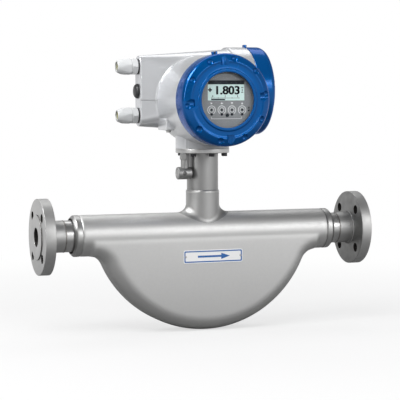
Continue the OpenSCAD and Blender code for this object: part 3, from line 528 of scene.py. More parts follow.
SPLIT_AT, SPLITTER_END = 58, 78         # where the bore forks, and the splitter's inner end
splitter_r = HUB_R - 0.15
for end, place in PIPE_END.items():
    splitter = turned([(0, SPLIT_AT, 0), (BORE_R, SPLIT_AT, 1.0), (BORE_R, WELD_AT, 0),
                       (splitter_r, WELD_AT, 0.4), (splitter_r, SPLITTER_END, 0.5), (0, SPLITTER_END, 0)],
                      closed=False)
    piece = finished(laid(splitter, place), end + "_splitter", "meter", pipe_steel,
                     (end + "_manifold",))
    # the splitter's bore gets the same painted shade
    second_finish(piece, bore_shade_steel, lambda middle, normal: math.hypot(middle.y, middle.z) < BORE_R + 0.35)
    finished(laid(weld_ring(HUB_R, 1.1, 0.35), place @ spot(0, 0, WELD_AT)), end + "_pipe_weld",
             "meter", weld_steel)


# ---------------------------------------------------------------- casing
# Two pressed stainless half shells, welded along the middle plane, blasted to a soft satin.
# They are a tube above and a half-moon belly below with a broad rounded rim; the belly runs
# into the tube through a hollow fillet at each end.
CASE_R = 31.5
CASE_HALF = 200.0
BELLY_R = 175.5
BELLY_CENTRE_Z = 25.5
RIM_R = 20.0
HOLLOW_R = 24.0
INSIDE_Z = -8.0                 # the belly runs up to this height inside the tube

blasted_steel = Finish("blasted_steel").set(Metallic=1.0)
cloud = blasted_steel.noise(7, 4)
fine = blasted_steel.noise(260, 3)
blasted_steel.colour(blasted_steel.blend(cloud, (0.594, 0.594, 0.589), (0.649, 0.649, 0.643)))
blasted_steel.roughness(blasted_steel.spread(fine, 0.46, 0.55))
blasted_steel.bumps((blasted_steel.noise(1300, 2), 0.05, 0.22), (fine, 0.05, 0.10))

hollow_x = math.sqrt((BELLY_R + HOLLOW_R) ** 2 - (BELLY_CENTRE_Z + CASE_R + HOLLOW_R) ** 2)
hollow_z = -CASE_R - HOLLOW_R
lean = math.atan2(hollow_x, BELLY_CENTRE_Z - hollow_z)     # from straight down to the touching point
belly = bmesh.new()
touching = Vector((-math.sin(lean) * BELLY_R, 0, BELLY_CENTRE_Z - math.cos(lean) * BELLY_R)) * MM
bmesh.ops.spin(belly, geom=[belly.verts.new(touching)], cent=(0, 0, BELLY_CENTRE_Z * MM), axis=(0, 1, 0),
               angle=-2 * lean, steps=110)
for side in (-1, 1):
    top = belly.verts.new((side * hollow_x * MM, 0, -CASE_R * MM))
    bmesh.ops.spin(belly, geom=[top], cent=(side * hollow_x * MM, 0, hollow_z * MM), axis=(0, 1, 0),
                   angle=-side * lean, steps=16)
    riser = belly.verts.new((side * hollow_x * MM, 0, INSIDE_Z * MM))
    belly.edges.new((top, riser))
bmesh.ops.remove_doubles(belly, verts=belly.verts, dist=0.2 * MM)
loose = [v for v in belly.verts if len(v.link_edges) == 1]
belly.edges.new(loose[:2])
bmesh.ops.edgeloop_fill(belly, edges=belly.edges[:])
grown = bmesh.ops.extrude_face_region(belly, geom=belly.faces[:])
bmesh.ops.translate(belly, vec=(0, 2 * CASE_R * MM, 0),
                    verts=[g for g in grown["geom"] if isinstance(g, bmesh.types.BMVert)])
bmesh.ops.translate(belly, verts=belly.verts, vec=(0, -CASE_R * MM, 0))
rim = [e for e in belly.edges if all(v.co.z < -(CASE_R - 0.1) * MM for v in e.verts)
       and abs(e.verts[0].co.y - e.verts[1].co.y) < 1e-6]
bmesh.ops.bevel(belly, geom=rim, offset=RIM_R * MM, affect="EDGES", segments=8, profile=0.5,
                material=-1, clamp_overlap=False)
bmesh.ops.triangulate(belly, faces=belly.faces)
bmesh.ops.recalc_face_normals(belly, faces=belly.faces)
tube = laid(rod(CASE_R, -CASE_HALF + 0.3, CASE_HALF - 0.3, 160), ALONG_X)


def fused(bm, grain, passes):
    """Overlapping shapes as one skin of even grain in mm, its corners eased as in a pressing."""
    def skin(blank):
        step = blank.modifiers.new("skin", "REMESH")
        step.mode, step.voxel_size, step.adaptivity = "VOXEL", grain * MM, 0.0
    bm = through(bm, skin)
    for _ in range(passes):
        bmesh.ops.smooth_vert(bm, verts=bm.verts, factor=0.5, use_axis_x=True, use_axis_y=True,
                              use_axis_z=True)
    return bm


casing = laid(fused(joined(belly, tube), 1.6, 7), spot(MID, 0, 0))
for name, side in (("case_front_shell", 1), ("case_rear_shell", -1)):
    half = casing.copy()
    bmesh.ops.bisect_plane(half, geom=half.verts[:] + half.edges[:] + half.faces[:], plane_co=(0, 0, 0),
                           plane_no=(0, side, 0), clear_outer=True)
    bmesh.ops.holes_fill(half, edges=[e for e in half.edges if e.is_boundary], sides=0)
    finished(half, name + "_pressing", "meter", blasted_steel, (name,), crease=70)
casing.free()


# ---------------------------------------------------------------- casing end rings
# Turned stainless rings that close the casing tube around the splitters. The outer corner is
# bevelled, a narrow groove is left beside the neck, and a shallow seam beside the casing.
ring_steel = mottled("ring_steel", (30, 3), (0.46, 0.46, 0.455), (0.55, 0.55, 0.545), (120, 3),
                     (0.36, 0.45), Metallic=1.0)
ring_steel.bumps((ring_steel.rings(0.6), 0.02, 0.10), (ring_steel.noise(800, 2), 0.03, 0.12))
END_RING_AT = 53.0              # from the flange's raised face
for end, place in PIPE_END.items():
    ring = turned([(24.2, 6, 0), (27.0, 6, 0.2), (27.0, 0.3, 0.3), (27.6, 0, 0.3), (CASE_R, 3.9, 1.2),
                   (CASE_R, 11.0, 0.4), (31.0, 12.2, 0), (24.2, 12.2, 0)], steps=160)
    finished(laid(ring, place @ spot(0, 0, END_RING_AT)), end + "_ring_turned", "meter",
             ring_steel, (end + "_end_ring",))


# ---------------------------------------------------------------- name plate
# A thin enamelled plate riveted to the flat front of the belly: white, with a blue line inside
# its edge and a blue arrow that shows the way of the flow.
PLATE_WIDE, PLATE_HIGH, PLATE_THICK = 96, 20, 0.6
PRINT_LOW, PRINT_HIGH = 0.5, 0.68       # the printing is let into the plate and stands a hair proud


def thickened(bm, height):
    """A flat shape given a height in mm along Z."""
    grown = bmesh.ops.extrude_face_region(bm, geom=bm.faces[:], use_keep_orig=True)
    bmesh.ops.translate(bm, vec=(0, 0, height * MM),
                        verts=[g for g in grown["geom"] if isinstance(g, bmesh.types.BMVert)])
    bmesh.ops.recalc_face_normals(bm, faces=bm.faces)
    return bm


def cutout(points, low, high):
    """A flat plate cut to an outline in mm in the local XY plane, from low to high along Z."""
    bm = bmesh.new()
    bm.faces.new([bm.verts.new((x * MM, y * MM, low * MM)) for x, y in points])
    return thickened(bm, high - low)


def rounded(wide, high, corner, steps=5, centre=(0, 0)):
    """The outline of a rectangle with rounded corners."""
    line = []
    for k, (sx, sy) in enumerate(((1, 1), (-1, 1), (-1, -1), (1, -1))):
        for n in range(steps + 1):
            a = math.radians(90 * (k + n / steps))
            line.append((centre[0] + sx * (wide / 2 - corner) + corner * math.cos(a),
                         centre[1] + sy * (high / 2 - corner) + corner * math.sin(a)))
    return line


def frame_of(outer, inner, low, high):
    """A flat frame between two outlines with as many points each."""
    bm = bmesh.new()
    loops = []
    for line in (outer, inner):
        verts = [bm.verts.new((x * MM, y * MM, low * MM)) for x, y in line]
        loops += [bm.edges.new((a, b)) for a, b in zip(verts, verts[1:] + verts[:1])]
    bmesh.ops.bridge_loops(bm, edges=loops)
    return thickened(bm, high - low)


FACING_FRONT = Matrix.Rotation(math.pi / 2, 4, "X")        # local Z to -Y, local Y to +Z
plate_place = spot(MID + 6, -CASE_R, -35) @ FACING_FRONT
white_enamel = Finish("white_enamel").set(Base_Color=(0.9, 0.9, 0.9, 1), Coat_Weight=0.4,
                                          Coat_Roughness=0.12)
white_enamel.roughness(white_enamel.spread(white_enamel.noise(200, 3), 0.28, 0.40))
white_enamel.bumps((white_enamel.noise(500, 2), 0.02, 0.15))
blue_enamel = mottled("blue_enamel", (60, 3), (0.006, 0.10, 0.36), (0.010, 0.13, 0.42), (200, 3),
                      (0.28, 0.40), ((500, 2), 0.02, 0.15), Coat_Weight=0.4, Coat_Roughness=0.12)
plate = cutout(rounded(PLATE_WIDE, PLATE_HIGH, 2.2), 0, PLATE_THICK)
finished(laid(plate, plate_place), "name_plate", "meter", white_enamel,
         ("case_label",), soften=0.15)
RIVET = [(0, 1.3, 0), (1.1, 1.2, 0.4), (1.7, 0.55, 0.2), (1.7, 0, 0), (0, 0, 0)]
rivets = joined(*[laid(turned(RIVET, 24, False), spot(x, 0, 0)) for x in (-44.6, 44.6)])
finished(laid(rivets, plate_place), "name_plate_rivets", "meter", turned_steel)
edge_line = frame_of(rounded(93.6, 17.6, 1.6), rounded(90.0, 14.0, 1.0), PRINT_LOW, PRINT_HIGH)
arrow = cutout([(-25, -1.5), (13, -1.5), (13, -4.8), (27, 0), (13, 4.8), (13, 1.5), (-25, 1.5)],
               PRINT_LOW, PRINT_HIGH)
marks = joined(edge_line, arrow)
finished(laid(marks, plate_place), "name_plate_marks", "meter", blue_enamel)


# ---------------------------------------------------------------- neck socket
# A forged socket welded saddle-fashion on top of the casing tube; its foot flares into the pipe
# all round, and the neck tube is welded into its top.
SOCKET_R = 25.75
FLARE_R = 15.0
SOCKET_TOP = 63.0
NECK_R = 24.15
FLARE_POINTS = 14


def saddle_line(around):
    """The flare in the upright plane at this angle: (radius, height) from the pipe up, in mm.

    The flare's centre is lowered by halving until its arc touches the pipe.
    """
    squeeze = abs(math.sin(around))
    axis_r = SOCKET_R + FLARE_R

    def pipe_top(r):
        return math.sqrt(max(CASE_R ** 2 - (r * squeeze) ** 2, 0.0))

    reach = [r for r in (axis_r * k / 120 for k in range(121)) if r * squeeze <= CASE_R]
    low, high = 0.0, CASE_R + FLARE_R
    for _ in range(30):
        centre = (low + high) / 2
        if min(math.hypot(axis_r - r, centre - pipe_top(r)) for r in reach) < FLARE_R:
            low = centre
        else:
            high = centre
    touch = min(reach, key=lambda r: math.hypot(axis_r - r, high - pipe_top(r)))
    end = math.atan2(pipe_top(touch) - high, touch - axis_r) % math.tau
    line = [(touch, pipe_top(touch) - 1.2)]
    for k in range(FLARE_POINTS):
        a = end + (math.pi - end) * k / (FLARE_POINTS - 1)
        line.append((axis_r + FLARE_R * math.cos(a), high + FLARE_R * math.sin(a)))
    line.append((SOCKET_R, SOCKET_TOP))
    return line


socket = bmesh.new()
line = [socket.verts.new((1, 0, k)) for k in range(FLARE_POINTS + 2)]       # its foot, flare and top
bmesh.ops.spin(socket, geom=line + [socket.edges.new(pair) for pair in zip(line, line[1:])],
               cent=(0, 0, 0), axis=(0, 0, 1), angle=math.tau, steps=128, use_merge=True)
known = {}
for v in socket.verts:
    around = math.atan2(v.co.y, v.co.x)
    key = round(math.degrees(math.asin(min(1.0, abs(math.sin(around))))), 3)
    if key not in known:
        known[key] = saddle_line(around)
    r, z = known[key][round(v.co.z)]
    v.co = Vector((r * math.cos(around), r * math.sin(around), z)) * MM
bmesh.ops.holes_fill(socket, edges=[e for e in socket.edges if e.is_boundary], sides=0)
bmesh.ops.recalc_face_normals(socket, faces=socket.faces)
# painted shade: the socket's steel is darker than the turned steel for the shade under the housing
socket_shaded_steel = mottled("forged_socket_painted_shade", (14, 4), (0.37, 0.37, 0.367), (0.43, 0.43, 0.426), (60, 3),
                       (0.42, 0.52), ((700, 3), 0.03, 0.15), Metallic=1.0)
finished(laid(socket, spot(MID, 0, 0)), "neck_socket_forged", "meter", socket_shaded_steel,
         ("neck_socket",), crease=50)


# ---------------------------------------------------------------- neck tube
# A drawn stainless tube between socket and transmitter, polished along its length; the bead of
# its weld stands over the socket's thicker wall. Its steel is darkened as painted shade under the
# housing.
NECK_BORE_R = 21.5
DISC_LOW, DISC_HIGH = 122.9, 129.7      # the neck plate's heights
# painted shade: the neck steel's colour is darkened for the shade under the transmitter housing
neck_shaded_steel = mottled("drawn_neck_painted_shade", (24, 4, (1, 1, 0.3)), (0.31, 0.31, 0.308), (0.37, 0.37, 0.367),
                     (110, 3, (1, 1, 0.2)), (0.42, 0.52), ((500, 3, (1, 1, 0.05)), 0.02, 0.14),
                     ((700, 2), 0.02, 0.08), Metallic=1.0)
neck = turned([(NECK_BORE_R, SOCKET_TOP, 0), (NECK_R, SOCKET_TOP, 0), (NECK_R, DISC_LOW, 0),
               (NECK_BORE_R, DISC_LOW, 0)])
finished(laid(neck, spot(MID, 0, 0)), "neck_tube_drawn", "meter", neck_shaded_steel, ("neck_tube",))
neck_bead = turned([(23, -1.6, 0), (25.65, -1.6, 0.3), (26.0, -0.2, 0.8), (25.2, 1.9, 1.2), (24.1, 3.4, 0.3),
                    (23, 3.4, 0)], steps=192)
finished(laid(rippled(neck_bead, 0.004, 58, 500), spot(MID, 0, SOCKET_TOP)), "neck_weld", "meter",
         ring_steel)


# ---------------------------------------------------------------- neck plate and its screws
# A turned stainless disc welded on the neck carries the transmitter. Black socket-head screws
# come up through it from below, and one place of the circle is left to the ground terminal.
SCREW_RING_R = 36.5
SCREW_HEAD = 5.0
disc = turned([(NECK_BORE_R, DISC_LOW, 0), (41.5, DISC_LOW, 1.0), (41.5, DISC_HIGH, 1.0),
               (NECK_BORE_R, DISC_HIGH, 0)], steps=160)
finished(laid(disc, spot(MID, 0, 0)), "neck_plate_turned", "meter", ring_steel, ("neck_plate",))
black_oxide = mottled("black_oxide", (300, 3), (0.018, 0.018, 0.020), (0.035, 0.035, 0.038), (500, 3),
                      (0.32, 0.48), ((1500, 2), 0.03, 0.2), Metallic=0.6)


def hexagon(across, low, high, turn=0.0):
    """A hexagon bar along local Z; across is its width over flats in mm."""
    bm = bmesh.new()
    r = across / 2 / math.cos(math.pi / 6) * MM
    bmesh.ops.create_cone(bm, cap_ends=True, segments=6, radius1=r, radius2=r, depth=(high - low) * MM)
    return laid(bm, spot(0, 0, (low + high) / 2) @ Matrix.Rotation(turn, 4, "Z"))


screws = []
for k in range(7):
    screw = turned([(0, 0.6, 0), (3.6, 0.6, 0), (3.7, 0, 0.2), (4.25, 0.35, 0.3), (4.25, SCREW_HEAD, 0.1),
                    (2.5, SCREW_HEAD, 0), (2.5, 21, 0), (0, 21, 0)], steps=40, closed=False)
    screw = carved(screw, hexagon(4, -1, 2.9))
    turn = Matrix.Rotation(math.radians(-131.5 + 45 * k), 4, "Z")
    screws.append(laid(screw, spot(MID, 0, DISC_LOW - SCREW_HEAD) @ turn @ spot(SCREW_RING_R, 0, 0)))
finished(joined(*screws), "foot_screws_black", "meter", black_oxide, ("foot_screws",))


# ---------------------------------------------------------------- ground terminal
# A stainless hexagon post screwed into the neck plate; its shank carries a short cross barrel
# with a hole for the ground wire and a slotted screw that pinches it.
def hexed(across, low, high, ease):
    """A hexagon bar with the corners of both ends turned off."""
    flat_r = across / 2
    full_r = flat_r / math.cos(math.pi / 6) + 0.2
    return carved(hexagon(across, low, high),
                  turned([(0, low, 0), (flat_r * 0.97, low, 0), (full_r, low + ease, 0),
                          (full_r, high - ease, 0), (flat_r * 0.97, high, 0), (0, high, 0)],
                         steps=64, closed=False), "INTERSECT")


CLAMP_Z = 92.4
post_turn = math.radians(-157.5)
post_at = spot(MID + SCREW_RING_R * math.cos(post_turn), SCREW_RING_R * math.sin(post_turn), 0)
# the post and the clamp barrel share the neck's darkened steel, painted shade under the housing
post = joined(hexed(13, DISC_LOW - 10, DISC_LOW, 1.4), rod(6, CLAMP_Z + 6, DISC_LOW - 10, 48),
              rod(3, DISC_LOW - 0.1, DISC_LOW + 5, 32))
finished(laid(post, post_at), "ground_post_turned", "meter", neck_shaded_steel, ("ground_post",),
         soften=0.25)
clamp_place = post_at @ spot(0, 0, CLAMP_Z) @ ALONG_X
barrel = turned([(6.05, -11.95, 0.2), (9.5, -11.95, 0.9), (9.5, 9.55, 0.9), (0, 9.55, 0), (0, -7.4, 0),
                 (6.05, -7.4, 0)], steps=96)
wire_hole = laid(rod(3.2, -12, 12, 40), spot(0, 0, -2.95) @ Matrix.Rotation(math.pi / 2, 4, "X"))
finished(laid(carved(barrel, wire_hole), clamp_place), "ground_clamp_barrel", "meter",
         neck_shaded_steel, ("ground_clamp",), soften=0.3)
pinch = turned([(0, -11.9, 0), (5.9, -11.9, 0.5), (5.9, -7.5, 0.2), (2.5, -7.5, 0), (2.5, -6.3, 0.4),
                (0, -6.3, 0)], 48, False)
pinch = carved(pinch, block((-8, -0.8, -13), (8, 0.8, -10)))
finished(laid(pinch, clamp_place), "ground_screw_slotted", "meter", turned_steel,
         ("ground_screw",), soften=0.15)


# ---------------------------------------------------------------- transmitter housing
# One aluminium casting, powder coated light grey: a round barrel for the electronics that opens
# to the front, a terminal room behind it that opens to the right and flattens to the left into
# the upright face of the cable entries, a round foot, and a boss for the earth screw.
BARREL_AT = (0, -77, 204)
ROOM_AT = (82, 38, 218)
CAST_R = 68.6
SLAB_X, SLAB_THICK, SLAB_TALL, SLAB_CORNER = -91.5, 29, 109, 13
ENTRY_Y = 40
ENTRY_Z = {"middle": ROOM_AT[2], "upper": ROOM_AT[2] + 37.7, "lower": ROOM_AT[2] - 37.7}
BODY_X, BODY_R = 47, 65                 # where the body that grows out of the slab is round
FOOT_R, FOOT_TOP = 41.5, 141            # the foot, and the height at which the barrel takes it up
BEAD_R = 1.2
TO_BARREL = spot(MID, 0, 0) @ spot(*BARREL_AT) @ FACING_FRONT
TO_ROOM = spot(MID, 0, 0) @ spot(*ROOM_AT) @ ALONG_X


def hull(*points):
    """The tight skin around points in mm."""
    bm = bmesh.new()
    for p in points:
        bm.verts.new(Vector(p) * MM)
    made = bmesh.ops.convex_hull(bm, input=bm.verts)
    inside = [g for g in made["geom_interior"] if isinstance(g, bmesh.types.BMVert)]
    bmesh.ops.delete(bm, geom=inside, context="VERTS")
    bmesh.ops.recalc_face_normals(bm, faces=bm.faces)
    return bm


def upright(x):
    """The slab's outline at this x."""
    outline = rounded(SLAB_THICK, SLAB_TALL, SLAB_CORNER, 10)
    return [(x, ENTRY_Y + y, ROOM_AT[2] + z) for y, z in outline]


def hoop(x, steps=96):
    """The body's round outline at this x."""
    turns = [math.tau * k / steps for k in range(steps)]
    return [(x, ROOM_AT[1] + BODY_R * math.cos(a), ROOM_AT[2] + BODY_R * math.sin(a)) for a in turns]


def bead_along(points, radius):
    """A round bead along a row of points in metres."""
    bm = bmesh.new()
    last = len(points) - 1
    before = []
    for k, point in enumerate(points):
        ahead = (points[min(k + 1, last)] - points[max(k - 1, 0)]).normalized()
        across = ahead.to_track_quat("Z", "Y").to_matrix().to_4x4()
        ring = bmesh.ops.create_circle(bm, segments=10, radius=radius * MM, cap_ends=k in (0, last),
                                       matrix=Matrix.Translation(point) @ across)
        edges = list(dict.fromkeys(e for v in ring["verts"] for e in v.link_edges))
        if before:
            bmesh.ops.bridge_loops(bm, edges=before + edges)
        before = edges
    bmesh.ops.recalc_face_normals(bm, faces=bm.faces)
    return bm


shape = joined(
    hull(*upright(SLAB_X), *upright(SLAB_X + 1), *hoop(BODY_X), *hoop(BODY_X + 4.5)),
    laid(rod(CAST_R, -31, 0, 160), spot(*ROOM_AT) @ ALONG_X),
    laid(rod(CAST_R, -103, 0, 160), spot(*BARREL_AT) @ FACING_FRONT))
shape = fused(shape, 1.3, 2)
bmesh.ops.triangulate(shape, faces=shape.faces)
foot = rod(FOOT_R, DISC_HIGH, 190, 128)
earth_boss = block((-64, -16.5, 158), (-47, 25.5, 176), 1.5)
for part in (foot, earth_boss):
    bmesh.ops.triangulate(part, faces=part.faces)
    shape = carved(shape, part, "UNION", "MANIFOLD")
front_slope = math.atan2(ROOM_AT[1] - BODY_R - ENTRY_Y + SLAB_THICK / 2, BODY_X - SLAB_X)
groove_at = spot(-91, 25.4, 0) @ Matrix.Rotation(front_slope, 4, "Z")
for tool in (
        laid(rod(63, -49, 3, 128), spot(*BARREL_AT) @ FACING_FRONT),
        laid(rod(62, -16, 3, 128), spot(*ROOM_AT) @ ALONG_X),
        laid(rod(57, -40, -10, 128), spot(*ROOM_AT) @ ALONG_X),
        *[laid(rod(10, -95, -84, 48), spot(0, ENTRY_Y, z) @ ALONG_X) for z in ENTRY_Z.values()],
        laid(block((0, -1.0, 203.1), (24, 2.0, 204.9)), groove_at),
        laid(block((21.8, -1.4, 198.6), (24, 2.0, 204.9)), groove_at)):
    shape = carved(shape, tool, solver="MANIFOLD")

# a fine bead runs where the barrel meets the body: its points lie straight behind the barrel's side
body_tree = BVHTree.FromBMesh(hull(*upright(SLAB_X), *hoop(BODY_X + 4.5)))
ridge = []
for k in range(45):
    a = math.radians(70 + 2.8 * k)
    beside = Vector(((CAST_R + 0.1) * math.cos(a), -90, BARREL_AT[2] + (CAST_R + 0.1) * math.sin(a))) * MM
    hit = body_tree.ray_cast(beside, Vector((0, 1, 0)))[0]
    if hit:
        ridge.append(hit)
shape = joined(shape, bead_along(ridge, BEAD_R))

grey_coat = Finish("grey_powder_coat").set(Metallic=0.6, Coat_Weight=0.4, Coat_Roughness=0.12,
                                           Specular_IOR_Level=0.3)
cloud = grey_coat.blend(grey_coat.noise(9, 4), (0.62, 0.632, 0.650), (0.67, 0.682, 0.700))
grey_coat.colour(grey_coat.blend(grey_coat.worn(0.35), cloud, (0.80, 0.81, 0.82)))
grey_coat.roughness(grey_coat.spread(grey_coat.noise(180, 3), 0.30, 0.38))
grey_coat.bumps((grey_coat.noise(380, 2), 0.04, 0.14), (grey_coat.noise(1400, 2), 0.02, 0.08))
casting = finished(laid(shape, spot(MID, 0, 0)), "transmitter_casting", "meter",
                   grey_coat, ("transmitter_housing",), crease=40)
# painted shade: the foot gets a matt coat in a much darker grey, for the shade under the barrel
matt_shaded_coat = mottled("grey_coat_matt_painted_shade", (9, 4), (0.42, 0.43, 0.445), (0.47, 0.48, 0.495), (180, 3),
                    (0.42, 0.55), ((380, 2), 0.04, 0.14), Coat_Weight=0.2, Coat_Roughness=0.3)


# the faces of the foot under the barrel, which take the painted shade
def on_the_foot(middle, normal):
    beyond = math.hypot(middle.x - MID, middle.y) - FOOT_R
    return -1.5 < beyond < 0.8 and middle.z < FOOT_TOP


second_finish(casting, matt_shaded_coat, on_the_foot)
earth_cap = turned([(0, -3.5, 0), (3.2, -3.5, 0.6), (3.5, -2.9, 0.3), (3.5, -1, 0), (0, -1, 0)], 40, False)
earth_shank = turned([(0, -1.1, 0), (4.5, -1.1, 0.2), (4.5, 0, 0), (2, 0, 0), (2, 7, 0), (0, 7, 0)], 40,
                     False)
earth = joined(carved(earth_cap, block((-5, -0.6, -4), (5, 0.6, -2.4))), earth_shank)
finished(laid(earth, spot(MID - 57, -6.5, 158)), "earth_screw_slotted", "meter",
         turned_steel, ("earth_screw",))


# ---------------------------------------------------------------- cable glands and blind plug
# Pale moulded plastic: a hexagon body screwed into the casting over a black washer, and a
# six-sided dome nut that closes an olive rubber seal on the cable. The middle entry has a black plug.
pale_plastic = mottled("pale_moulded_plastic", (40, 3), (0.60, 0.615, 0.62), (0.66, 0.67, 0.675), (300, 3),
                       (0.36, 0.48), ((900, 2), 0.03, 0.18), Coat_Weight=0.1, Coat_Roughness=0.3)
olive_rubber = mottled("olive_rubber", (200, 3), (0.30, 0.29, 0.10), (0.40, 0.39, 0.16), (600, 3),
                       (0.62, 0.8), ((1500, 2), 0.05, 0.3))
black_plastic = mottled("black_moulded_plastic", (200, 3), (0.016, 0.016, 0.018), (0.030, 0.030, 0.032),
                        (500, 3), (0.34, 0.5), ((1200, 2), 0.04, 0.2))
ENTRY = {row: spot(MID + SLAB_X, ENTRY_Y, z) @ AGAINST_X for row, z in ENTRY_Z.items()}
for row in ("upper", "lower"):
    sleeve = turned([(0, -8.4, 0), (9.9, -8.4, 0.6), (9.9, 2.1, 0), (9.1, 2.1, 0), (9.1, 21.5, 0.4),
                     (0, 21.5, 0)], 64, False)
    gland = joined(hexed(24, 2, 11.5, 1.6), carved(sleeve, rod(6.6, -10, 23, 48)))
    finished(laid(gland, ENTRY[row]), row + "_gland_hexagon", "meter", pale_plastic,
             (row + "_gland_body",), soften=0.35)
    nut = turned([(9.18, 11.8, 0.2), (12.2, 11.8, 0.4), (12.9, 13.0, 0.4), (12.9, 19.5, 3), (11.9, 27.0, 4),
                  (9.4, 32.8, 3), (8.4, 34.3, 0.8), (7.0, 34.3, 0.5), (7.0, 27.3, 0), (9.18, 27.3, 0)],
                 steps=96)
    nut = carved(nut, hexagon(23.0, 11, 36, math.radians(12)), "INTERSECT")
    finished(laid(nut, ENTRY[row]), row + "_gland_dome", row + "_nut", pale_plastic,
             (row + "_gland_nut",), soften=0.6)
    seal = turned([(4.5, 21.9, 0.3), (8.8, 21.9, 0.3), (8.8, 27.0, 0.3), (6.7, 27.0, 0), (6.7, 32.3, 0.6),
                   (4.5, 31.6, 0.8)], steps=64)
    finished(laid(seal, ENTRY[row]), row + "_gland_rubber", row + "_seal", olive_rubber,
             (row + "_gland_seal",))
WASHER = [(10, 0.02, 0.1), (12.1, 0.02, 0.6), (12.1, 1.98, 0.6), (10, 1.98, 0.1)]
washers = joined(*[laid(turned(WASHER, 64), ENTRY[row]) for row in ("upper", "lower")])
finished(washers, "gland_washers_rubber", "meter", black_plastic, ("gland_washers",))
plug = turned([(0, -8, 0), (9.9, -8, 0.5), (9.9, 0.02, 0), (11.35, 0.02, 0.4), (11.35, 2.4, 0.8),
               (8.6, 5.6, 3), (0, 6.8, 0)], 64, False)
finished(laid(plug, ENTRY["middle"]), "blind_plug_domed", "meter", black_plastic,
         ("blind_plug",))


# ---------------------------------------------------------------- screw covers
# Die-cast aluminium covers, coated glossy blue, screwed on the barrel and the terminal room. The
# bevel carries round grip hollows and, on the front one, four notches for a cover key; a lug at
# the rim takes the locking screw.
blue_coat = Finish("blue_gloss_coat").set(
    Metallic=0.4, Coat_Weight=0.3, Coat_Roughness=0.06, Coat_IOR=1.5, Specular_IOR_Level=0.05,
    Specular_Tint=(0.05, 0.42, 1.0, 1))
cloud = blue_coat.blend(blue_coat.noise(12, 4), (0.000, 0.074, 0.272), (0.000, 0.083, 0.296))
blue_coat.colour(blue_coat.blend(blue_coat.worn(0.12), cloud, (0.004, 0.13, 0.42)))
blue_coat.roughness(blue_coat.spread(blue_coat.noise(60, 3), 0.22, 0.28))
blue_coat.bumps((blue_coat.noise(90, 2), 0.02, 0.02))
black_rubber = mottled("black_seal_rubber", (300, 3), (0.012, 0.012, 0.012), (0.024, 0.024, 0.024),
                       (700, 3), (0.5, 0.7), ((1500, 2), 0.04, 0.25))


HOLLOWS = 10
HOLLOW_CUT_R, HOLLOW_RING_R = 6.0, 62.62
LUG_TURN = {"display": math.radians(7), "terminal": math.radians(90)}


def gripped(cover, rise):
    """The cover with its grip hollows; rise is the height of the balls that cut them."""
    for k in range(HOLLOWS):
        ball = bmesh.new()
        bmesh.ops.create_icosphere(ball, subdivisions=4, radius=HOLLOW_CUT_R * MM)
        turn = Matrix.Rotation((k + 0.22) * math.tau / HOLLOWS, 4, "Z")
        cover = carved(cover, laid(ball, turn @ spot(HOLLOW_RING_R, 0, rise)), solver="MANIFOLD")
    return cover


def notched(cover, rise):
    """The cover with four round-bottomed notches between its inner lip and its bevel."""
    for k in range(4):
        notch = laid(rod(7.2, 51.6, 64.8, 64), spot(0, 0, rise) @ ALONG_X)
        turn = Matrix.Rotation(math.radians(5 + 90 * k), 4, "Z")
        cover = carved(cover, laid(notch, turn), solver="MANIFOLD")
    return cover


def lugged(cover, turn):
    """The cover with the lug that takes its locking screw."""
    lug = laid(block((-4.5, 66, 0), (4.5, 72.6, 4), 0.9), Matrix.Rotation(turn, 4, "Z"))
    return carved(cover, lug, "UNION", "MANIFOLD")


def lock_screw(cover, place):
    """The socket-head screw that stands out of a cover's lug."""
    screw = turned([(0, 4, 0), (1.5, 4, 0), (1.5, 5.6, 0.3), (0, 5.6, 0)], 32, False)
    screw = carved(screw, hexagon(1.5, 4.6, 6))
    screw = laid(screw, place @ Matrix.Rotation(LUG_TURN[cover], 4, "Z") @ spot(0, 70.8, 0))
    finished(screw, cover + "_lock_screw_black", cover + "_lid", black_oxide,
             (cover + "_lock_screw",))


def skirt(r):
    """The start of a cover's half section: the threaded skirt of inner radius r, and the rim."""
    return [(r, -12, 0.3), (r + 3.4, -12, 0.8), (r + 3.4, 2.9, 0.2), (r + 6.6, 2.9, 0.2), (r + 6.6, 0, 0.3),
            (69, 0, 1.0)]


front_cover = turned(skirt(59.5) + [
    (69, 28.6, 2.5), (66.5, 33.2, 2.2), (57.6, 38.1, 2.4), (54.6, 36.9, 1.4), (46.4, 36.9, 1.2),
    (45.2, 38.5, 0.8), (41.2, 38.5, 0.8), (41.2, 35.0, 0.4), (50.1, 35.0, 0.2), (50.1, 24.0, 0.5),
    (59.5, 24.0, 1.5)], steps=180)
front_cover = lugged(notched(gripped(front_cover, 38.3), 41.2), LUG_TURN["display"])
finished(laid(front_cover, TO_BARREL), "display_cover_cast", "display_lid", blue_coat,
         ("display_cover",), crease=38, soften=0.7)
lock_screw("display", TO_BARREL)
side_cover = turned(skirt(58.5) + [
    (69, 22.6, 2.5), (66.5, 27.2, 2.2), (57.6, 31.5, 2.4), (52.2, 31.5, 0.8), (51.6, 33.0, 0.8),
    (0, 33.0, 0), (0, 23.0, 0), (58.5, 23.0, 2)], steps=180)
side_cover = lugged(gripped(side_cover, 32.3), LUG_TURN["terminal"])
finished(laid(side_cover, TO_ROOM), "terminal_cover_cast", "terminal_lid", blue_coat,
         ("terminal_cover",), crease=38, soften=0.55)
lock_screw("terminal", TO_ROOM)
for cover, place, seal_r in (("display", TO_BARREL, 64.52), ("terminal", TO_ROOM, 63.52)):
    turns = [math.tau * k / 16 for k in range(16)]
    cord = turned([(seal_r + 1.3 * math.cos(a), 1.45 + 1.3 * math.sin(a), 0) for a in turns])
    finished(laid(cord, place), cover + "_cover_cord", cover + "_seal_ring", black_rubber,
             (cover + "_cover_seal",))

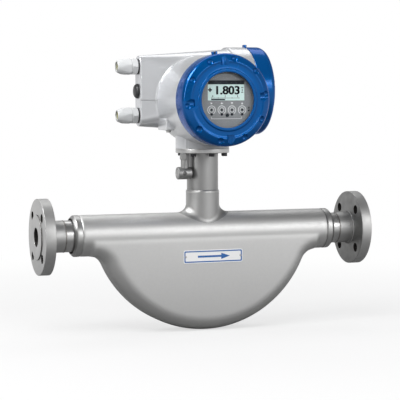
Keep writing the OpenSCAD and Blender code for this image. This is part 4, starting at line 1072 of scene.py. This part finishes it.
# the window: toughened glass in a seat under the cover's lip; shadows and soft light pass it freely
clear = Finish("window_glass_clear").set(Transmission_Weight=1.0, IOR=1.1, Roughness=0.0,
                                         Base_Color=(0.97, 0.985, 0.985, 1))
clear.bumps((clear.noise(40, 2, rough=0.5), 0.02, 0.01))
rays = clear.tree.nodes.new("ShaderNodeLightPath").outputs
unseen = worked(clear.tree, "MAXIMUM", rays["Is Shadow Ray"], rays["Is Diffuse Ray"])
passing = clear.tree.nodes.new("ShaderNodeBsdfTransparent")
surfaced(clear.tree, unseen, clear.shader.outputs[0], passing.outputs[0],
         clear.tree.nodes["Material Output"])
pane = turned([(0, 30.52, 0), (49.9, 30.52, 0.3), (49.9, 34.48, 0.3), (0, 34.48, 0)], 96, False)
finished(laid(pane, TO_BARREL), "window_pane", "display_lid", clear, ("window_glass",))


# ---------------------------------------------------------------- display and keys
# The display unit under the window: a moulded grey face with a framed liquid crystal screen
# and four touch keys, each a printed white ring with a small icon and a guide line.
FACE = 30.0                     # the face's height over the barrel's mouth
SCREEN = (57.8, 29.8)
SCREEN_Y = 14.0
KEY_Y = -14.6
INK = 0.1                       # the thickness of a print
bezel_plastic = mottled("bezel_grey_plastic", (60, 3), (0.215, 0.222, 0.232), (0.240, 0.247, 0.257),
                        (500, 3), (0.42, 0.55), ((1500, 2), 0.03, 0.2), Specular_IOR_Level=0.3)
bezel = turned([(44, -14, 0), (59, -14, 0.5), (59, -9, 0.5), (46.5, -9, 0.5), (46.5, FACE, 0.8), (0, FACE, 0),
                (0, FACE - 2.5, 0), (44, FACE - 2.5, 0)], steps=128)
bezel = carved(bezel, laid(cutout(rounded(*SCREEN, 1.0), FACE - 4, FACE + 2), spot(0, SCREEN_Y, 0)))
finished(laid(bezel, TO_BARREL), "display_face", "meter", bezel_plastic, ("display_bezel",),
         soften=0.4)

# painted light: the screen's pale green is set brighter than its own, standing in for its backlight and
# making up for the shade in the window's recess
screen_glass = mottled("liquid_crystal_screen", (25, 2), (0.60, 0.77, 0.75), (0.64, 0.81, 0.78), (800, 2),
                       (0.3, 0.4), ((1400, 2), 0.01, 0.1), Coat_Weight=0.3, Coat_Roughness=0.1)
screen = cutout(rounded(SCREEN[0] - 0.4, SCREEN[1] - 0.4, 0.8, centre=(0, SCREEN_Y)), FACE - 2.0, FACE - 0.9)
finished(laid(screen, TO_BARREL), "screen_glass", "meter", screen_glass, ("lcd_panel",))

ink = mottled("screen_ink", (400, 2), (0.012, 0.016, 0.020), (0.022, 0.026, 0.032), (800, 2), (0.4, 0.55),
              Specular_IOR_Level=0.1)
print_white = mottled("print_white", (400, 2), (0.72, 0.73, 0.74), (0.82, 0.83, 0.84), (800, 2),
                      (0.45, 0.6))


def lettered(text, high, x, y, stroke, wide=1.0):
    """Plain figures as flat thin plates, centred at x, y; high is the height of a figure in mm."""
    curve = bpy.data.curves.new("figures", "FONT")
    curve.body, curve.size = text, high / 0.73 * MM
    curve.offset, curve.extrude = stroke * MM, INK / 2 * MM
    curve.align_x, curve.align_y = "CENTER", "CENTER"
    carrier = bpy.data.objects.new("figures", curve)
    scene.collection.objects.link(carrier)
    mesh = bpy.data.meshes.new_from_object(carrier.evaluated_get(bpy.context.evaluated_depsgraph_get()))
    bpy.data.objects.remove(carrier)
    bpy.data.curves.remove(curve)
    bm = bmesh.new()
    bm.from_mesh(mesh)
    bpy.data.meshes.remove(mesh)
    bmesh.ops.scale(bm, verts=bm.verts, vec=(wide, 1, 1))
    return laid(bm, spot(x, y, 0))


def inked(points):
    """An outline in mm as a flat print."""
    return cutout(points, -INK / 2, INK / 2)


def bar(x, y, wide, high):
    """A printed bar from its lower left corner."""
    return inked([(x, y), (x + wide, y), (x + wide, y + high), (x, y + high)])


head_bar = rounded(SCREEN[0] - 0.6, 5.7, 0.6, centre=(0, SCREEN[1] / 2 - 0.2 - 2.85))
reading = joined(
    inked(head_bar),
    bar(-28.3, -0.1, 6.0, 2.0), bar(-26.3, -2.1, 2.0, 6.0),                                 # plus sign
    *[lettered("1.803", 12.4, 1.6 + shift, -0.3, 0.36, 1.08) for shift in (-0.35, 0.35)],
    bar(23.6, 4.0, 3.4, 0.9), bar(23.6, -3.4, 3.4, 0.9), bar(24.9, -1.6, 0.9, 4.2),         # unit marks
    bar(-23.4, -14.3, 21.5, 2.0), bar(-23.4, -11.3, 44.0, 0.45),                            # bar and scale
    *[bar(x - 0.25, -12.0, 0.5, 1.8) for x in (-23.2, -12.4, -1.4, 9.4, 20.4)],
    *[lettered(figure, 2.6, x, -8.6, 0.12) for figure, x in (("0", -21.2), ("1", -1.4), ("2", 17.9))])
finished(laid(reading, TO_BARREL @ spot(0, SCREEN_Y, FACE - 0.85)), "screen_reading", "meter",
         ink)


def arc_band(radius, half, start, stop):
    """A flat band along part of a circle, angles in degrees."""
    turn = [math.radians(start + (stop - start) * k / 28) for k in range(29)]
    outer = [((radius + half) * math.cos(a), (radius + half) * math.sin(a)) for a in turn]
    inner = [((radius - half) * math.cos(a), (radius - half) * math.sin(a)) for a in reversed(turn)]
    return inked(outer + inner)


def disc_at(x, y, radius):
    turn = [math.tau * k / 24 for k in range(24)]
    return inked([(x + radius * math.cos(a), y + radius * math.sin(a)) for a in turn])


ICONS = (                       # one over each key: right, back, down, up
    [(-1.4, -1.6), (1.5, 0), (-1.4, 1.6)],
    [(0.1, -1.6), (0.1, -0.5), (2.0, -0.5), (2.0, 0.5), (0.1, 0.5), (0.1, 1.6), (-1.9, 0)],
    [(-1.7, 1.4), (0, -1.6), (1.7, 1.4)],
    [(-1.7, -1.4), (1.7, -1.4), (0, 1.6)])
KEY_PITCH = 16
printed, dotted = [], []
for k, icon in enumerate(ICONS):
    x = KEY_PITCH * (k - 1.5) + 0.8
    printed += [laid(arc_band(6.0, 0.42, -62, 242), spot(x, KEY_Y, 0)),
                laid(arc_band(3.35, 0.32, 0, 358), spot(x, KEY_Y, 0)),
                inked([(x + u, KEY_Y + 9.7 + v) for u, v in icon])]
    dotted += [disc_at(x, KEY_Y, 1.6), disc_at(x, KEY_Y - 6.6, 2.0)]
GUIDE_Y = KEY_Y - 13.2
printed += [bar(-23.7, GUIDE_Y, 47.7, 0.5), bar(-23.7, GUIDE_Y, 0.5, 3.2), bar(23.5, GUIDE_Y, 0.5, 3.2)]
dotted += [disc_at(1.4, KEY_Y - 7.9, 2.8), bar(34.0, KEY_Y + 1.9, 2.5, 2.5), bar(34.0, KEY_Y - 2.2, 2.5, 2.5)]
print_place = TO_BARREL @ spot(0, 0, FACE + 0.03)
finished(laid(joined(*printed), print_place), "face_print_white", "meter", print_white)
finished(laid(joined(*dotted), print_place), "face_print_black", "meter", ink,
         ("key_lenses",))


# ---------------------------------------------------------------- parts inside
# What the covers and the casing hide: the two measuring tubes with their plates, coils and
# magnets, the wires, the boards and the terminals. They keep the solids' own shapes.
copper_wire = mottled("wound_copper", (300, 3), (0.55, 0.24, 0.10), (0.72, 0.36, 0.17), (500, 3),
                      (0.25, 0.4), Metallic=1.0)
copper_wire.bumps((copper_wire.rings(0.35, "Y", bands=True), 0.08, 0.5))
loom_wrap = mottled("harness_wrap", (250, 3), (0.20, 0.09, 0.03), (0.30, 0.14, 0.05), (500, 3),
                    (0.55, 0.75))
loom_wrap.bumps((loom_wrap.rings(1.2, "Z", bands=True), 0.15, 0.5))
board_mask = Finish("board_solder_mask").set(Coat_Weight=0.3, Coat_Roughness=0.2)
tracks = board_mask.spread(board_mask.noise(350, 4), 0, 1, 0.5, 0.56)
board_mask.colour(board_mask.blend(tracks, (0.010, 0.075, 0.030), (0.030, 0.16, 0.065)))
board_mask.roughness(board_mask.spread(board_mask.noise(400, 3), 0.3, 0.45))
board_mask.bumps((board_mask.noise(350, 4), 0.05, 0.3))
terminal_green = mottled("terminal_green_plastic", (150, 3), (0.020, 0.14, 0.055), (0.030, 0.18, 0.075),
                         (500, 3), (0.4, 0.55), ((1200, 2), 0.03, 0.2))
INSIDE = {
    pipe_steel: ("front_tube", "rear_tube", "brace_plates", "neck_feedthrough"),
    turned_steel: ("drive_magnet", "pickoff_magnets", "temperature_sensor", "terminal_screws"),
    copper_wire: ("drive_coil", "pickoff_coils"),
    loom_wrap: ("sensor_harness",),
    black_plastic: ("compartment_feedthrough", "electronics_can"),
    board_mask: ("main_board", "display_board"),
    pale_plastic: ("terminal_carrier",),
    terminal_green: ("terminal_block",),
    black_rubber: ("window_gasket", "window_ring"),
}
for finish, names in INSIDE.items():
    for name in names:
        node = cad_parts[name]
        node.data.materials.clear()
        node.data.materials.append(finish.material)
